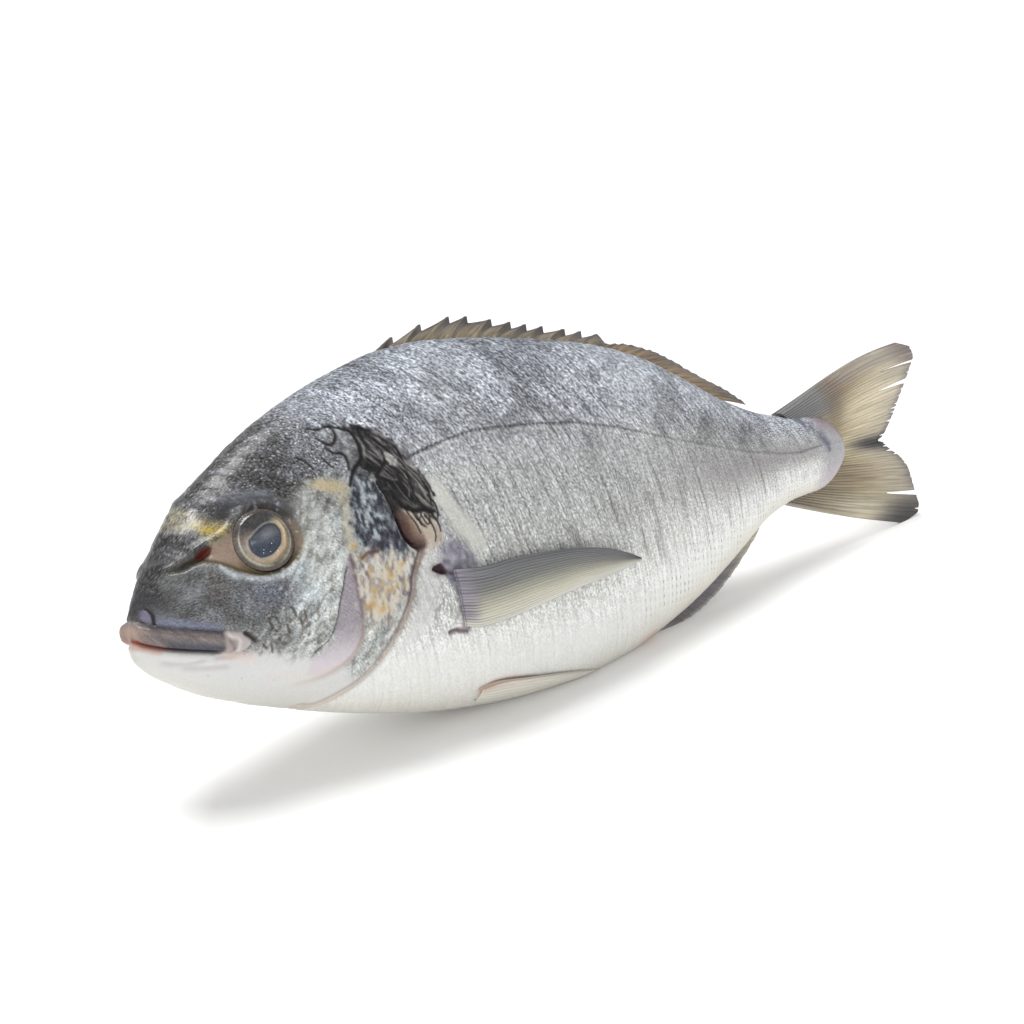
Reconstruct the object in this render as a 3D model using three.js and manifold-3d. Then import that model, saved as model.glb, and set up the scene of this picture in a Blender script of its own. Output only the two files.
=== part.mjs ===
// Whole gilt-head sea bream, upright, resting on the flattened keel of its belly
// and on the lower tip of its tail. Millimetres, +Z up, head towards -X, left
// flank towards -Y. The fish is drawn straight in its own frame (x from the snout
// to the tail, y to its right, z to its back, all as fractions of the standard
// length), bent a little sideways towards the tail, then tipped into the row
// frame: pitched up at the head and leaning onto its right side.
import * as THREE from 'three';
import { mergeVertices } from 'three/addons/utils/BufferGeometryUtils.js';
import Module from 'manifold-3d';

// ---------------------------------------------------------------- driving dimensions
const STANDARD_LENGTH = 245;      // snout to the end of the backbone, mm
const GAP = 0.3;                  // clearance between neighbouring pieces, mm
const BEND = 0.065;               // sideways curvature behind BEND_START, rad per standard length
const BEND_START = 0.5;
const TAIL_RISE = 0.036;          // upward sweep behind 0.8
const ROW_X = [0.992126, -0.031801, 0.121141];   // row axes in the fish's own frame
const ROW_Y = [0, 0.967228, 0.253909];
const ROW_Z = [-0.125245, -0.251910, 0.959612];
const SHIFT = [-145.97, 3.45, 57.31];          // puts the middle of the base box at the origin, mm
const EYE_POINT = [0.1165, 0.0532, 0.0078];      // middle of the eye on the skin: x, |y|, z
const EYE_NORMAL = [-0.285, 0.930, 0.230];       // the way it looks
const EYE_RADIUS = 0.0290;                       // lens-shaped eyeball: radius across
const EYE_DEPTH = 0.0160;                        // half its thickness
const EYE_SINK = 0.0100;                         // its middle below the skin
const RING_STATIONS = 60;         // body mesh resolution
const RING_POINTS = 21;           // points on each half ring

// body tables: station, back height, belly height, half width
const ST = [0, .003, .010, .022, .040, .065, .095, .13, .17, .21, .26, .32, .38, .45, .52, .60, .68, .75, .82, .88, .93, .955, .975, .995, 1.010, 1.022, 1.030, 1.034];
const ZT = [-.0562, -.0432, -.0298, -.0100, .0138, .0448, .0688, .0928, .1155, .1340, .1520, .1680, .1740, .1726, .1672, .1578, .1392, .1110, .0800, .0595, .0500, .0480, .0465, .0415, .0345, .0250, .0150, .0050];
const ZB = [-.0744, -.0838, -.0917, -.1010, -.1109, -.1225, -.1332, -.1438, -.1538, -.1628, -.1725, -.1820, -.1874, -.1900, -.1878, -.1760, -.1522, -.1240, -.0875, -.0575, -.0460, -.0440, -.0425, -.0380, -.0310, -.0220, -.0130, -.0040];
const HW = [.0020, .0098, .0176, .0262, .0375, .0472, .0548, .0625, .0714, .0786, .0840, .0864, .0870, .0845, .0797, .0711, .0597, .0495, .0380, .0288, .0226, .0200, .0178, .0155, .0135, .0112, .0085, .0045];
// height of the widest line as a fraction of the depth, and the section exponents
const FW = [.5, .5, .48, .46, .45, .45, .45, .46, .47, .475, .48, .49, .50, .505, .51, .515, .52, .52, .515, .51, .5, .5, .5, .5, .5, .5, .5, .5];
const PU = [2, 2, 2, 1.9, 1.8, 1.75, 1.7, 1.65, 1.65, 1.65, 1.7, 1.8, 1.85, 1.85, 1.85, 1.85, 1.85, 1.9, 1.9, 2, 2, 2, 2, 2, 2, 2, 2, 2];
const QU = [.5, .5, .5, .5, .5, .5, .52, .53, .54, .55, .56, .57, .57, .57, .57, .57, .56, .55, .53, .52, .5, .5, .5, .5, .5, .5, .5, .5];
const PL = [2, 2, 2, 2, 2, 2, 2, 2, 2.1, 2.2, 2.4, 2.6, 2.6, 2.6, 2.5, 2.3, 2.1, 2, 2, 2, 2, 2, 2, 2, 2, 2, 2, 2];
const QL = [.5, .5, .5, .5, .5, .5, .5, .5, .5, .5, .5, .5, .5, .5, .5, .52, .54, .54, .52, .5, .5, .5, .5, .5, .5, .5, .5, .5];

// fin outlines in the fish's mid plane (x, z)
const DORSAL = [[.298, .150], [.3085, .1675], [.329, .1765], [.3735, .1885], [.412, .1935], [.440, .1925], [.4716, .1875], [.5176, .1808], [.547, .1770], [.577, .1722], [.626, .1640], [.6405, .1570], [.673, .1525], [.708, .1430], [.748, .1280], [.7895, .1075], [.831, .0890], [.861, .0745], [.862, .0700], [.8345, .0680], [.800, .080], [.740, .104], [.660, .134], [.560, .153], [.440, .164], [.340, .158]];
const ANAL = [[.660, -.1480], [.665, -.1650], [.693, -.1600], [.7215, -.1510], [.7536, -.1420], [.7866, -.1275], [.8157, -.1080], [.849, -.0825], [.866, -.0680], [.852, -.0620], [.820, -.0800], [.770, -.1030], [.710, -.1290]];
const CAUDAL = [[.925, .030], [.9115, .0560], [.955, .0665], [1.000, .0778], [1.047, .0908], [1.095, .1042], [1.126, .1112], [1.161, .1128], [1.191, .1050], [1.1976, .0925], [1.194, .0865], [1.180, .0667], [1.161, .0433], [1.146, .0268], [1.129, .0105], [1.117, .0020], [1.127, -.0095], [1.149, -.0235], [1.164, -.0383], [1.178, -.0684], [1.185, -.0870], [1.184, -.0935], [1.156, -.1030], [1.139, -.1050], [1.100, -.0990], [1.067, -.0880], [1.034, -.0770], [.996, -.0655], [.958, -.0578], [.9184, -.0490], [.930, -.025]];
// paired fins: centre line points (x, |y|, z), half height along the blade and half thickness
const PECTORAL = [
  { c: [.296, .0770, -.0690], h: .0270, t: .0060 },
  { c: [.318, .0800, -.0700], h: .0320, t: .0052 },
  { c: [.350, .0925, -.0700], h: .0330, t: .0042 },
  { c: [.400, .1020, -.0680], h: .0300, t: .0034 },
  { c: [.460, .1060, -.0660], h: .0235, t: .0030 },
  { c: [.520, .1060, -.0660], h: .0155, t: .0026 },
  { c: [.570, .1040, -.0680], h: .0075, t: .0022 },
  { c: [.592, .1020, -.0700], h: .0030, t: .0018 }];

// ---------------------------------------------------------------- curves
function slopes(xs, ys) {                       // monotone cubic tangents
  const n = xs.length, h = [], d = [], m = new Array(n).fill(0);
  for (let i = 0; i < n - 1; i++) { h.push(xs[i + 1] - xs[i]); d.push((ys[i + 1] - ys[i]) / h[i]); }
  for (let i = 1; i < n - 1; i++) {
    if (d[i - 1] * d[i] > 0) {
      const a = 2 * h[i] + h[i - 1], b = h[i] + 2 * h[i - 1];
      m[i] = (a + b) / (a / d[i - 1] + b / d[i]);
    }
  }
  m[0] = d[0]; m[n - 1] = d[n - 2];
  return m;
}
const table = (ys) => {
  const m = slopes(ST, ys);
  return (x) => {
    let i = 0;
    while (i < ST.length - 2 && x > ST[i + 1]) i++;
    const h = ST[i + 1] - ST[i], t = Math.min(1, Math.max(0, (x - ST[i]) / h));
    const t2 = t * t, t3 = t2 * t;
    return (2 * t3 - 3 * t2 + 1) * ys[i] + (t3 - 2 * t2 + t) * h * m[i] + (3 * t2 - 2 * t3) * ys[i + 1] + (t3 - t2) * h * m[i + 1];
  };
};
const zt = table(ZT), zb = table(ZB), hw = table(HW), fw = table(FW), pu = table(PU), qu = table(QU), pl = table(PL), ql = table(QL);

function toRow(p) {                              // fish frame (fractions) to row frame (mm)
  const s = Math.max(0, p[0] - BEND_START), a = BEND * s;
  const cx = s > 0 ? BEND_START + Math.sin(a) / BEND : p[0];
  const cy = s > 0 ? (1 - Math.cos(a)) / BEND : 0;
  const q = [cx - p[1] * Math.sin(a), cy + p[1] * Math.cos(a), p[2] + TAIL_RISE * Math.max(0, p[0] - 0.8)];
  const dot = (r) => (r[0] * q[0] + r[1] * q[1] + r[2] * q[2]) * STANDARD_LENGTH;
  return new THREE.Vector3(dot(ROW_X) + SHIFT[0], dot(ROW_Y) + SHIFT[1], dot(ROW_Z) + SHIFT[2]);
}

// half ring from belly to back on one side: evenly spaced (y, z)
function halfRing(x, grow, count) {
  const top = zt(x) + grow, low = zb(x) - grow, w = hw(x) + grow, mid = low + fw(x) * (top - low);
  const dense = [];
  for (let i = 0; i <= 160; i++) {
    const a = (-0.5 + i / 160) * Math.PI, s = Math.abs(Math.sin(a)), c = Math.max(0, Math.cos(a));
    const up = a >= 0, p = up ? pu(x) : pl(x), q = up ? qu(x) : ql(x);
    const t = Math.pow(s, 2 / p);
    dense.push([w * Math.pow(c, 2 * q), up ? mid + (top - mid) * t : mid + (low - mid) * t]);
  }
  const len = [0];
  for (let i = 1; i < dense.length; i++) len.push(len[i - 1] + Math.hypot(dense[i][0] - dense[i - 1][0], dense[i][1] - dense[i - 1][1]));
  const out = []; let j = 0;
  for (let k = 0; k < count; k++) {
    const want = len[len.length - 1] * k / (count - 1);
    while (j < len.length - 2 && len[j + 1] < want) j++;
    const f = (want - len[j]) / Math.max(1e-12, len[j + 1] - len[j]);
    out.push([dense[j][0] + (dense[j + 1][0] - dense[j][0]) * f, dense[j][1] + (dense[j + 1][1] - dense[j][1]) * f]);
  }
  return out;
}

function closedFromRings(rings, tipA, tipB) {    // rings of equal length, tips close the ends
  const n = rings[0].length, pos = [], idx = [];
  for (const ring of rings) for (const v of ring) pos.push(v.x, v.y, v.z);
  const a = rings.length * n, b = a + 1;
  pos.push(tipA.x, tipA.y, tipA.z, tipB.x, tipB.y, tipB.z);
  for (let i = 0; i < rings.length - 1; i++) for (let j = 0; j < n; j++) {
    const k = (j + 1) % n, p = i * n + j, q = i * n + k, r = p + n, s = q + n;
    idx.push(p, r, q, q, r, s);
  }
  for (let j = 0; j < n; j++) {
    const k = (j + 1) % n, e = (rings.length - 1) * n;
    idx.push(a, j, k, b, e + k, e + j);
  }
  const g = new THREE.BufferGeometry();
  g.setAttribute('position', new THREE.Float32BufferAttribute(pos, 3));
  g.setIndex(idx);
  return g;
}

function bodyGeometry(growMm) {
  const grow = growMm / STANDARD_LENGTH, rings = [], end = ST[ST.length - 1];
  for (let i = 0; i < RING_STATIONS; i++) {
    const u = i / (RING_STATIONS - 1);
    // stations crowd towards the blunt snout and the end of the tail stalk
    const x = end * (u < 0.22 ? 0.5 * u * u / 0.22 * 1.12 : 0.1232 + (u - 0.22) * (1 - 0.1232) / 0.78);
    const half = halfRing(x, grow, RING_POINTS), xs = x + grow * (2 * x / end - 1);
    const ring = [];
    for (let k = 0; k < RING_POINTS; k++) ring.push(toRow([xs, -half[k][0] * (k === 0 || k === RING_POINTS - 1 ? 0 : 1), half[k][1]]));
    for (let k = RING_POINTS - 2; k > 0; k--) ring.push(toRow([xs, half[k][0], half[k][1]]));
    rings.push(ring);
  }
  const head = toRow([-grow - 0.0008, 0, -0.0655]), tail = toRow([end + grow + 0.0010, 0, 0.0005]);
  return closedFromRings(rings, head, tail);
}

// flat fin in the mid plane, thinning towards its free edge
function midFin(outline, base, tip) {
  const shape = new THREE.Shape(outline.map(([x, z]) => new THREE.Vector2(x, z)));
  const g = new THREE.ExtrudeGeometry(shape, { depth: 2, bevelEnabled: false, steps: 1 });
  const p = g.attributes.position;
  for (let i = 0; i < p.count; i++) {
    const x = p.getX(i), z = p.getY(i), side = p.getZ(i) - 1;
    const t = base + (tip - base) * Math.min(1, Math.max(0, (x - 0.93) / 0.24));
    const v = toRow([x, side * t, z]);
    p.setXYZ(i, v.x, v.y, v.z);
  }
  return g;
}

// blade swept along a line of stations; side is -1 on the left and +1 on the right
function blade(stations, side, up) {
  const rings = [];
  for (const s of stations) {
    const ring = [];
    for (let k = 0; k < 12; k++) {
      const a = k / 12 * Math.PI * 2, c = Math.cos(a), n = Math.sin(a);
      const u = s.up || up;
      const y = s.c[1] + u[0] * c * s.h + u[1] * n * s.t, z = s.c[2] + u[1] * c * s.h - u[0] * n * s.t;
      ring.push(toRow([s.c[0], side * y, z]));
    }
    rings.push(side < 0 ? ring : ring.reverse());
  }
  const f = stations[0].c, l = stations[stations.length - 1].c;
  return closedFromRings(rings, toRow([f[0], side * f[1], f[2]]), toRow([l[0] + .002, side * l[1], l[2]]));
}

// ---------------------------------------------------------------- solids
const wasm = await Module();
wasm.setup();
function solid(geometry) {
  const g = geometry.clone();
  g.deleteAttribute('normal'); g.deleteAttribute('uv');
  const m = mergeVertices(g, 1e-4), p = m.attributes.position, ix = m.index.array;
  const v = [0, 1, 2].map(() => new THREE.Vector3());
  let volume = 0;
  for (let i = 0; i < ix.length; i += 3) {
    v.forEach((w, k) => w.fromBufferAttribute(p, ix[i + k]));
    volume += v[0].dot(v[1].clone().cross(v[2]));
  }
  if (volume < 0) for (let i = 0; i < ix.length; i += 3) [ix[i + 1], ix[i + 2]] = [ix[i + 2], ix[i + 1]];
  const s = new wasm.Manifold(new wasm.Mesh({ numProp: 3, vertProperties: new Float32Array(m.attributes.position.array), triVerts: new Uint32Array(m.index.array) }));
  return s;
}
function geometry(s) {                           // the largest body of a solid
  let best = null;
  for (const part of s.decompose()) if (!best || part.volume() > best.volume()) best = part;
  const m = best.getMesh(), g = new THREE.BufferGeometry();
  g.setAttribute('position', new THREE.Float32BufferAttribute(m.vertProperties, 3));
  g.setIndex(new THREE.Uint32BufferAttribute(m.triVerts, 1));
  g.computeVertexNormals();
  return g;
}

const ground = new THREE.BoxGeometry(700, 400, 60).translate(0, 0, -30);
const groundSolid = solid(ground);
function ball(side, grow) {
  const n = new THREE.Vector3(...EYE_NORMAL).normalize(), u = new THREE.Vector3(0, 0, 1).cross(n).normalize(), v = n.clone().cross(u);
  const c = new THREE.Vector3(...EYE_POINT).addScaledVector(n, -EYE_SINK);
  const g = new THREE.SphereGeometry(1, 28, 16).rotateX(Math.PI / 2), p = g.attributes.position, q = new THREE.Vector3();
  for (let i = 0; i < p.count; i++) {
    q.copy(c).addScaledVector(u, p.getX(i) * (EYE_RADIUS + grow)).addScaledVector(v, p.getY(i) * (EYE_RADIUS + grow)).addScaledVector(n, p.getZ(i) * (EYE_DEPTH + grow));
    const r = toRow([q.x, side * q.y, q.z]);
    p.setXYZ(i, r.x, r.y, r.z);
  }
  return g;
}

// pelvic fins: the left lies back along the belly, the right lies splayed on the surface
const floorZ = (x, y) => (-SHIFT[2] / STANDARD_LENGTH - ROW_Z[0] * x - ROW_Z[1] * y) / ROW_Z[2];
const PELVIC_LEFT = [
  { c: [.372, .0460, -.1700], h: .0100, t: .0040 },
  { c: [.400, .0450, -.1735], h: .0150, t: .0036 },
  { c: [.440, .0410, -.1775], h: .0165, t: .0032 },
  { c: [.490, .0340, -.1810], h: .0150, t: .0030 },
  { c: [.535, .0260, -.1825], h: .0110, t: .0026 },
  { c: [.575, .0180, -.1820], h: .0045, t: .0022 }];
const PELVIC_RIGHT = [
  { x: .372, y: .0420, lift: .0080, h: .0100, t: .0040 },
  { x: .400, y: .0500, lift: .0055, h: .0150, t: .0036 },
  { x: .440, y: .0620, lift: .0034, h: .0180, t: .0030 },
  { x: .490, y: .0740, lift: .0030, h: .0180, t: .0028 },
  { x: .535, y: .0820, lift: .0027, h: .0130, t: .0025 },
  { x: .575, y: .0870, lift: .0024, h: .0055, t: .0022 }];

const body = solid(bodyGeometry(0)), cutter = solid(bodyGeometry(GAP));
const sockets = [-1, 1].map((s) => solid(ball(s, GAP / STANDARD_LENGTH)));
const finish = (g, ...cuts) => {
  let s = solid(g);
  for (const c of cuts) s = s.subtract(c);
  return geometry(s);
};

const skin = new THREE.MeshStandardMaterial({ color: 0x8f949b, roughness: 0.34, metalness: 0.25 });
const fin = new THREE.MeshStandardMaterial({ color: 0x9a927f, roughness: 0.45, metalness: 0.0 });
const eye = new THREE.MeshStandardMaterial({ color: 0x4b5058, roughness: 0.08, metalness: 0.0 });
const fish = new THREE.Group();
function add(name, g, material) {
  const mesh = new THREE.Mesh(g, material.clone());
  mesh.name = name;
  fish.add(mesh);
}
add('body', geometry(body.subtract(sockets[0]).subtract(sockets[1]).subtract(groundSolid)), skin);
add('dorsal_fin', finish(midFin(DORSAL, .0030, .0030), cutter), fin);
add('anal_fin', finish(midFin(ANAL, .0028, .0028), cutter, groundSolid), fin);
add('caudal_fin', finish(midFin(CAUDAL, .0070, .0028), cutter, groundSolid), fin);
for (const [side, label] of [[-1, 'left'], [1, 'right']]) {
  add('pectoral_fin_' + label, finish(blade(PECTORAL, side, [.14, .99]), cutter, groundSolid), fin);
}
add('pelvic_fin_left', finish(blade(PELVIC_LEFT, -1, [.79, .61]), cutter, groundSolid), fin);
add('pelvic_fin_right', finish(blade(PELVIC_RIGHT.map((s) => ({ c: [s.x, s.y, floorZ(s.x, s.y) + s.lift], h: s.h, t: s.t })), 1, [.967, .254]), cutter, groundSolid), fin);
for (const [i, label] of [[0, 'left'], [1, 'right']]) {
  add('eye_' + label, geometry(solid(ball(i ? 1 : -1, 0))), eye);
}

export default fish;
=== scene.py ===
# Whole gilt-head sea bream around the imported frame. Metres; the fish's own frame is in
# fractions of the standard length (x snout to tail, y to its right, z to its back).
import math
import bpy
import numpy as np
from mathutils import Matrix, Vector


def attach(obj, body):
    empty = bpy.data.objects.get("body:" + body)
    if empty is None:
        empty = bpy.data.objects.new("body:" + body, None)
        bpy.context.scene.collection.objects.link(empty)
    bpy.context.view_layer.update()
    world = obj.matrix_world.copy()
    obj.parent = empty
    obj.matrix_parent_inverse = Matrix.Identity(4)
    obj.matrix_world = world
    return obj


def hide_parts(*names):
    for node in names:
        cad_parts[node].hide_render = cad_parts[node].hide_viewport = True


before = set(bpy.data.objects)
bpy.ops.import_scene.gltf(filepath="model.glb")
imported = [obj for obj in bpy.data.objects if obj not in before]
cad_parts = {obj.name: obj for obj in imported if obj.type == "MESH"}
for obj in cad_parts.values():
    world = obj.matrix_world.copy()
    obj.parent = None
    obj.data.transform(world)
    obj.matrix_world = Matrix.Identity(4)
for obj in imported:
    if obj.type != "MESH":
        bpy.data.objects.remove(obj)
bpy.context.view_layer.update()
scene = bpy.context.scene

# ------------------------------------------------------------------ shape, as in the CAD
SL = 245.0
BEND, BEND_START, TAIL_RISE = 0.065, 0.5, 0.036
ROW = np.array([[0.992126, -0.031801, 0.121141], [0.0, 0.967228, 0.253909], [-0.125245, -0.251910, 0.959612]])
SHIFT = np.array([-145.97, 3.45, 57.31])
ST = np.array([0, .003, .010, .022, .040, .065, .095, .13, .17, .21, .26, .32, .38, .45, .52, .60, .68, .75, .82, .88, .93, .955, .975, .995, 1.010, 1.022, 1.030, 1.034])
ZT = [-.0562, -.0432, -.0298, -.0100, .0138, .0448, .0688, .0928, .1155, .1340, .1520, .1680, .1740, .1726, .1672, .1578, .1392, .1110, .0800, .0595, .0500, .0480, .0465, .0415, .0345, .0250, .0150, .0050]
ZB = [-.0744, -.0838, -.0917, -.1010, -.1109, -.1225, -.1332, -.1438, -.1538, -.1628, -.1725, -.1820, -.1874, -.1900, -.1878, -.1760, -.1522, -.1240, -.0875, -.0575, -.0460, -.0440, -.0425, -.0380, -.0310, -.0220, -.0130, -.0040]
HW = [.0020, .0098, .0176, .0262, .0375, .0472, .0548, .0625, .0714, .0786, .0840, .0864, .0870, .0845, .0797, .0711, .0597, .0495, .0380, .0288, .0226, .0200, .0178, .0155, .0135, .0112, .0085, .0045]
FW = [.5, .5, .48, .46, .45, .45, .45, .46, .47, .475, .48, .49, .50, .505, .51, .515, .52, .52, .515, .51, .5, .5, .5, .5, .5, .5, .5, .5]
PU = [2, 2, 2, 1.9, 1.8, 1.75, 1.7, 1.65, 1.65, 1.65, 1.7, 1.8, 1.85, 1.85, 1.85, 1.85, 1.85, 1.9, 1.9, 2, 2, 2, 2, 2, 2, 2, 2, 2]
QU = [.5, .5, .5, .5, .5, .5, .52, .53, .54, .55, .56, .57, .57, .57, .57, .57, .56, .55, .53, .52, .5, .5, .5, .5, .5, .5, .5, .5]
PL = [2, 2, 2, 2, 2, 2, 2, 2, 2.1, 2.2, 2.4, 2.6, 2.6, 2.6, 2.5, 2.3, 2.1, 2, 2, 2, 2, 2, 2, 2, 2, 2, 2, 2]
QL = [.5, .5, .5, .5, .5, .5, .5, .5, .5, .5, .5, .5, .5, .5, .5, .52, .54, .54, .52, .5, .5, .5, .5, .5, .5, .5, .5, .5]


def tab(ys, x, xs=ST):
    ys, xs = np.asarray(ys, float), np.asarray(xs, float)
    h = np.diff(xs); d = np.diff(ys) / h
    m = np.zeros(len(xs)); m[0], m[-1] = d[0], d[-1]
    for i in range(1, len(xs) - 1):
        if d[i - 1] * d[i] > 0:
            a, b = 2 * h[i] + h[i - 1], h[i] + 2 * h[i - 1]
            m[i] = (a + b) / (a / d[i - 1] + b / d[i])
    x = np.asarray(x, float)
    i = np.clip(np.searchsorted(xs, x, side="left") - 1, 0, len(xs) - 2)
    t = np.clip((x - xs[i]) / h[i], 0, 1); t2, t3 = t * t, t * t * t
    return (2 * t3 - 3 * t2 + 1) * ys[i] + (t3 - 2 * t2 + t) * h[i] * m[i] + (3 * t2 - 2 * t3) * ys[i + 1] + (t3 - t2) * h[i] * m[i + 1]


def to_row(p):
    """Fish frame (fractions) to row frame (metres). p is (..., 3)."""
    p = np.asarray(p, float)
    s = np.clip(p[..., 0] - BEND_START, 0, None); a = BEND * s
    cx = np.where(s > 0, BEND_START + np.sin(a) / BEND, p[..., 0])
    cy = np.where(s > 0, (1 - np.cos(a)) / BEND, 0)
    q = np.stack([cx - p[..., 1] * np.sin(a), cy + p[..., 1] * np.cos(a), p[..., 2] + TAIL_RISE * np.clip(p[..., 0] - 0.8, 0, None)], -1)
    return (q @ ROW.T * SL + SHIFT) / 1000.0


def half_ring(x, count, dense=240):
    """y >= 0 half section from belly to back at each x, evenly spaced. Returns y, z, total length."""
    x = np.asarray(x, float)
    top, low, w, f = tab(ZT, x), tab(ZB, x), tab(HW, x), tab(FW, x)
    mid = low + f * (top - low)
    a = np.linspace(-0.5, 0.5, dense + 1) * np.pi
    s, c = np.abs(np.sin(a))[None], np.cos(a).clip(0)[None]
    up = (a >= 0)[None]
    p = np.where(up, tab(PU, x)[:, None], tab(PL, x)[:, None]); q = np.where(up, tab(QU, x)[:, None], tab(QL, x)[:, None])
    t = s ** (2 / p)
    y = w[:, None] * c ** (2 * q); z = np.where(up, mid[:, None] + (top - mid)[:, None] * t, mid[:, None] + (low - mid)[:, None] * t)
    l = np.concatenate([np.zeros((len(x), 1)), np.cumsum(np.hypot(np.diff(y, axis=1), np.diff(z, axis=1)), 1)], 1)
    Y, Z = np.empty((len(x), count)), np.empty((len(x), count)); M = np.empty(len(x))
    for i in range(len(x)):
        want = np.linspace(0, l[i, -1], count)
        Y[i] = np.interp(want, l[i], y[i]); Z[i] = np.interp(want, l[i], z[i]); M[i] = l[i, dense // 2]
    return Y, Z, l[:, -1], M


def skin_y(x, z):
    """Half width of the body at (x, z), by inverting the section."""
    x, z = np.broadcast_arrays(np.asarray(x, float), np.asarray(z, float))
    top, low, w, f = tab(ZT, x), tab(ZB, x), tab(HW, x), tab(FW, x)
    mid = low + f * (top - low); up = z >= mid
    p = np.where(up, tab(PU, x), tab(PL, x)); q = np.where(up, tab(QU, x), tab(QL, x))
    t = np.clip(np.where(up, (z - mid) / (top - mid), (mid - z) / (mid - low)), 0, 1)
    return w * (1 - t ** p).clip(0) ** q


# ------------------------------------------------------------------ helpers
def lin(c):
    c = np.asarray(c, float) / 255.0
    return np.where(c <= 0.04045, c / 12.92, ((c + 0.055) / 1.055) ** 2.4)


_rng = np.random.default_rng(11)
_tables = [_rng.random((256, 256)) for _ in range(24)]


def vnoise(u, v, seed=0):
    """Smooth value noise, 0 to 1, one cell per unit."""
    T = _tables[seed % 24]
    iu, iv = np.floor(u).astype(int), np.floor(v).astype(int)
    fu, fv = u - iu, v - iv
    fu, fv = fu * fu * (3 - 2 * fu), fv * fv * (3 - 2 * fv)
    a, b = T[iu % 256, iv % 256], T[(iu + 1) % 256, iv % 256]
    c, d = T[iu % 256, (iv + 1) % 256], T[(iu + 1) % 256, (iv + 1) % 256]
    return (a * (1 - fu) + b * fu) * (1 - fv) + (c * (1 - fu) + d * fu) * fv


def fbm(u, v, seed=0, octaves=4, gain=0.5):
    r, amp, tot = 0, 1.0, 0.0
    for o in range(octaves):
        r = r + amp * vnoise(u * 2 ** o + 17.3 * o, v * 2 ** o - 9.1 * o, seed + o); tot += amp; amp *= gain
    return r / tot


def hash2(i, j, seed=0):
    return _tables[seed % 24][i.astype(int) % 256, j.astype(int) % 256]


def sstep(a, b, x):
    t = np.clip((x - a) / (b - a), 0, 1)
    return t * t * (3 - 2 * t)


def smooth_line(pts, n=6):
    """Catmull-Rom through the points, n steps a span."""
    p = np.asarray(pts, float)
    p = np.vstack([2 * p[0] - p[1], p, 2 * p[-1] - p[-2]])
    out = []
    for i in range(1, len(p) - 2):
        t = np.linspace(0, 1, n, endpoint=False)[:, None]
        out.append(0.5 * ((2 * p[i]) + (-p[i - 1] + p[i + 1]) * t + (2 * p[i - 1] - 5 * p[i] + 4 * p[i + 1] - p[i + 2]) * t ** 2 + (-p[i - 1] + 3 * p[i] - 3 * p[i + 1] + p[i + 2]) * t ** 3))
    out.append(p[-2][None])
    return np.vstack(out)


def line_dist(X, Z, pts):
    """Distance in mm to a line whose points are fractions, the fraction along it, and the side (positive to the left of its direction)."""
    p = smooth_line(pts) * SL
    best, at, sd = np.full(X.shape, 1e9), np.zeros(X.shape), np.zeros(X.shape)
    seg = np.hypot(*(np.diff(p, axis=0).T)); cum = np.concatenate([[0], np.cumsum(seg)]); total = cum[-1]
    for i in range(len(p) - 1):
        d = p[i + 1] - p[i]; L2 = d @ d + 1e-12
        t = np.clip(((X - p[i, 0]) * d[0] + (Z - p[i, 1]) * d[1]) / L2, 0, 1)
        ex, ez = X - (p[i, 0] + t * d[0]), Z - (p[i, 1] + t * d[1])
        r = np.hypot(ex, ez); m = r < best
        best = np.where(m, r, best); at = np.where(m, (cum[i] + t * seg[i]) / total, at)
        sd = np.where(m, np.sign(d[0] * ez - d[1] * ex), sd)
    return best, at, sd


def poly_sd(X, Z, pts, smooth=True):
    """Signed distance in mm to a closed outline: negative inside."""
    q = np.asarray(pts, float)
    if smooth:
        k = len(q); q = smooth_line(np.vstack([q[-2:], q, q[:2]]), 5)[10:-10]
    q = q * SL
    inside = np.zeros(X.shape, bool); best = np.full(X.shape, 1e9)
    for i in range(len(q)):
        a, b = q[i], q[(i + 1) % len(q)]
        d = b - a; L2 = d @ d + 1e-12
        t = np.clip(((X - a[0]) * d[0] + (Z - a[1]) * d[1]) / L2, 0, 1)
        best = np.minimum(best, np.hypot(X - a[0] - t * d[0], Z - a[1] - t * d[1]))
        if a[1] != b[1]:
            c = (a[1] > Z) != (b[1] > Z)
            inside ^= c & (X < (b[0] - a[0]) * (Z - a[1]) / (b[1] - a[1]) + a[0])
    return np.where(inside, -best, best)


def mixc(col, c, m):
    """Mixes colour c (0 to 255, sRGB) or an array into col by mask m."""
    c, m = np.asarray(c, float), np.asarray(m, float)
    if m.ndim == 0:
        m = np.full(col.shape[:-1], float(m))
    if c.ndim == 1:
        c = np.broadcast_to(c, col.shape)
    return col * (1 - m[..., None]) + c * m[..., None]


def ell(X, Z, cx, cz, rx, rz, ang=0.0):
    """Ellipse distance: 1 on its edge."""
    a = math.radians(ang); dx, dz = X - cx * SL, Z - cz * SL
    u, v = dx * math.cos(a) + dz * math.sin(a), -dx * math.sin(a) + dz * math.cos(a)
    return np.hypot(u / (rx * SL), v / (rz * SL))


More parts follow.
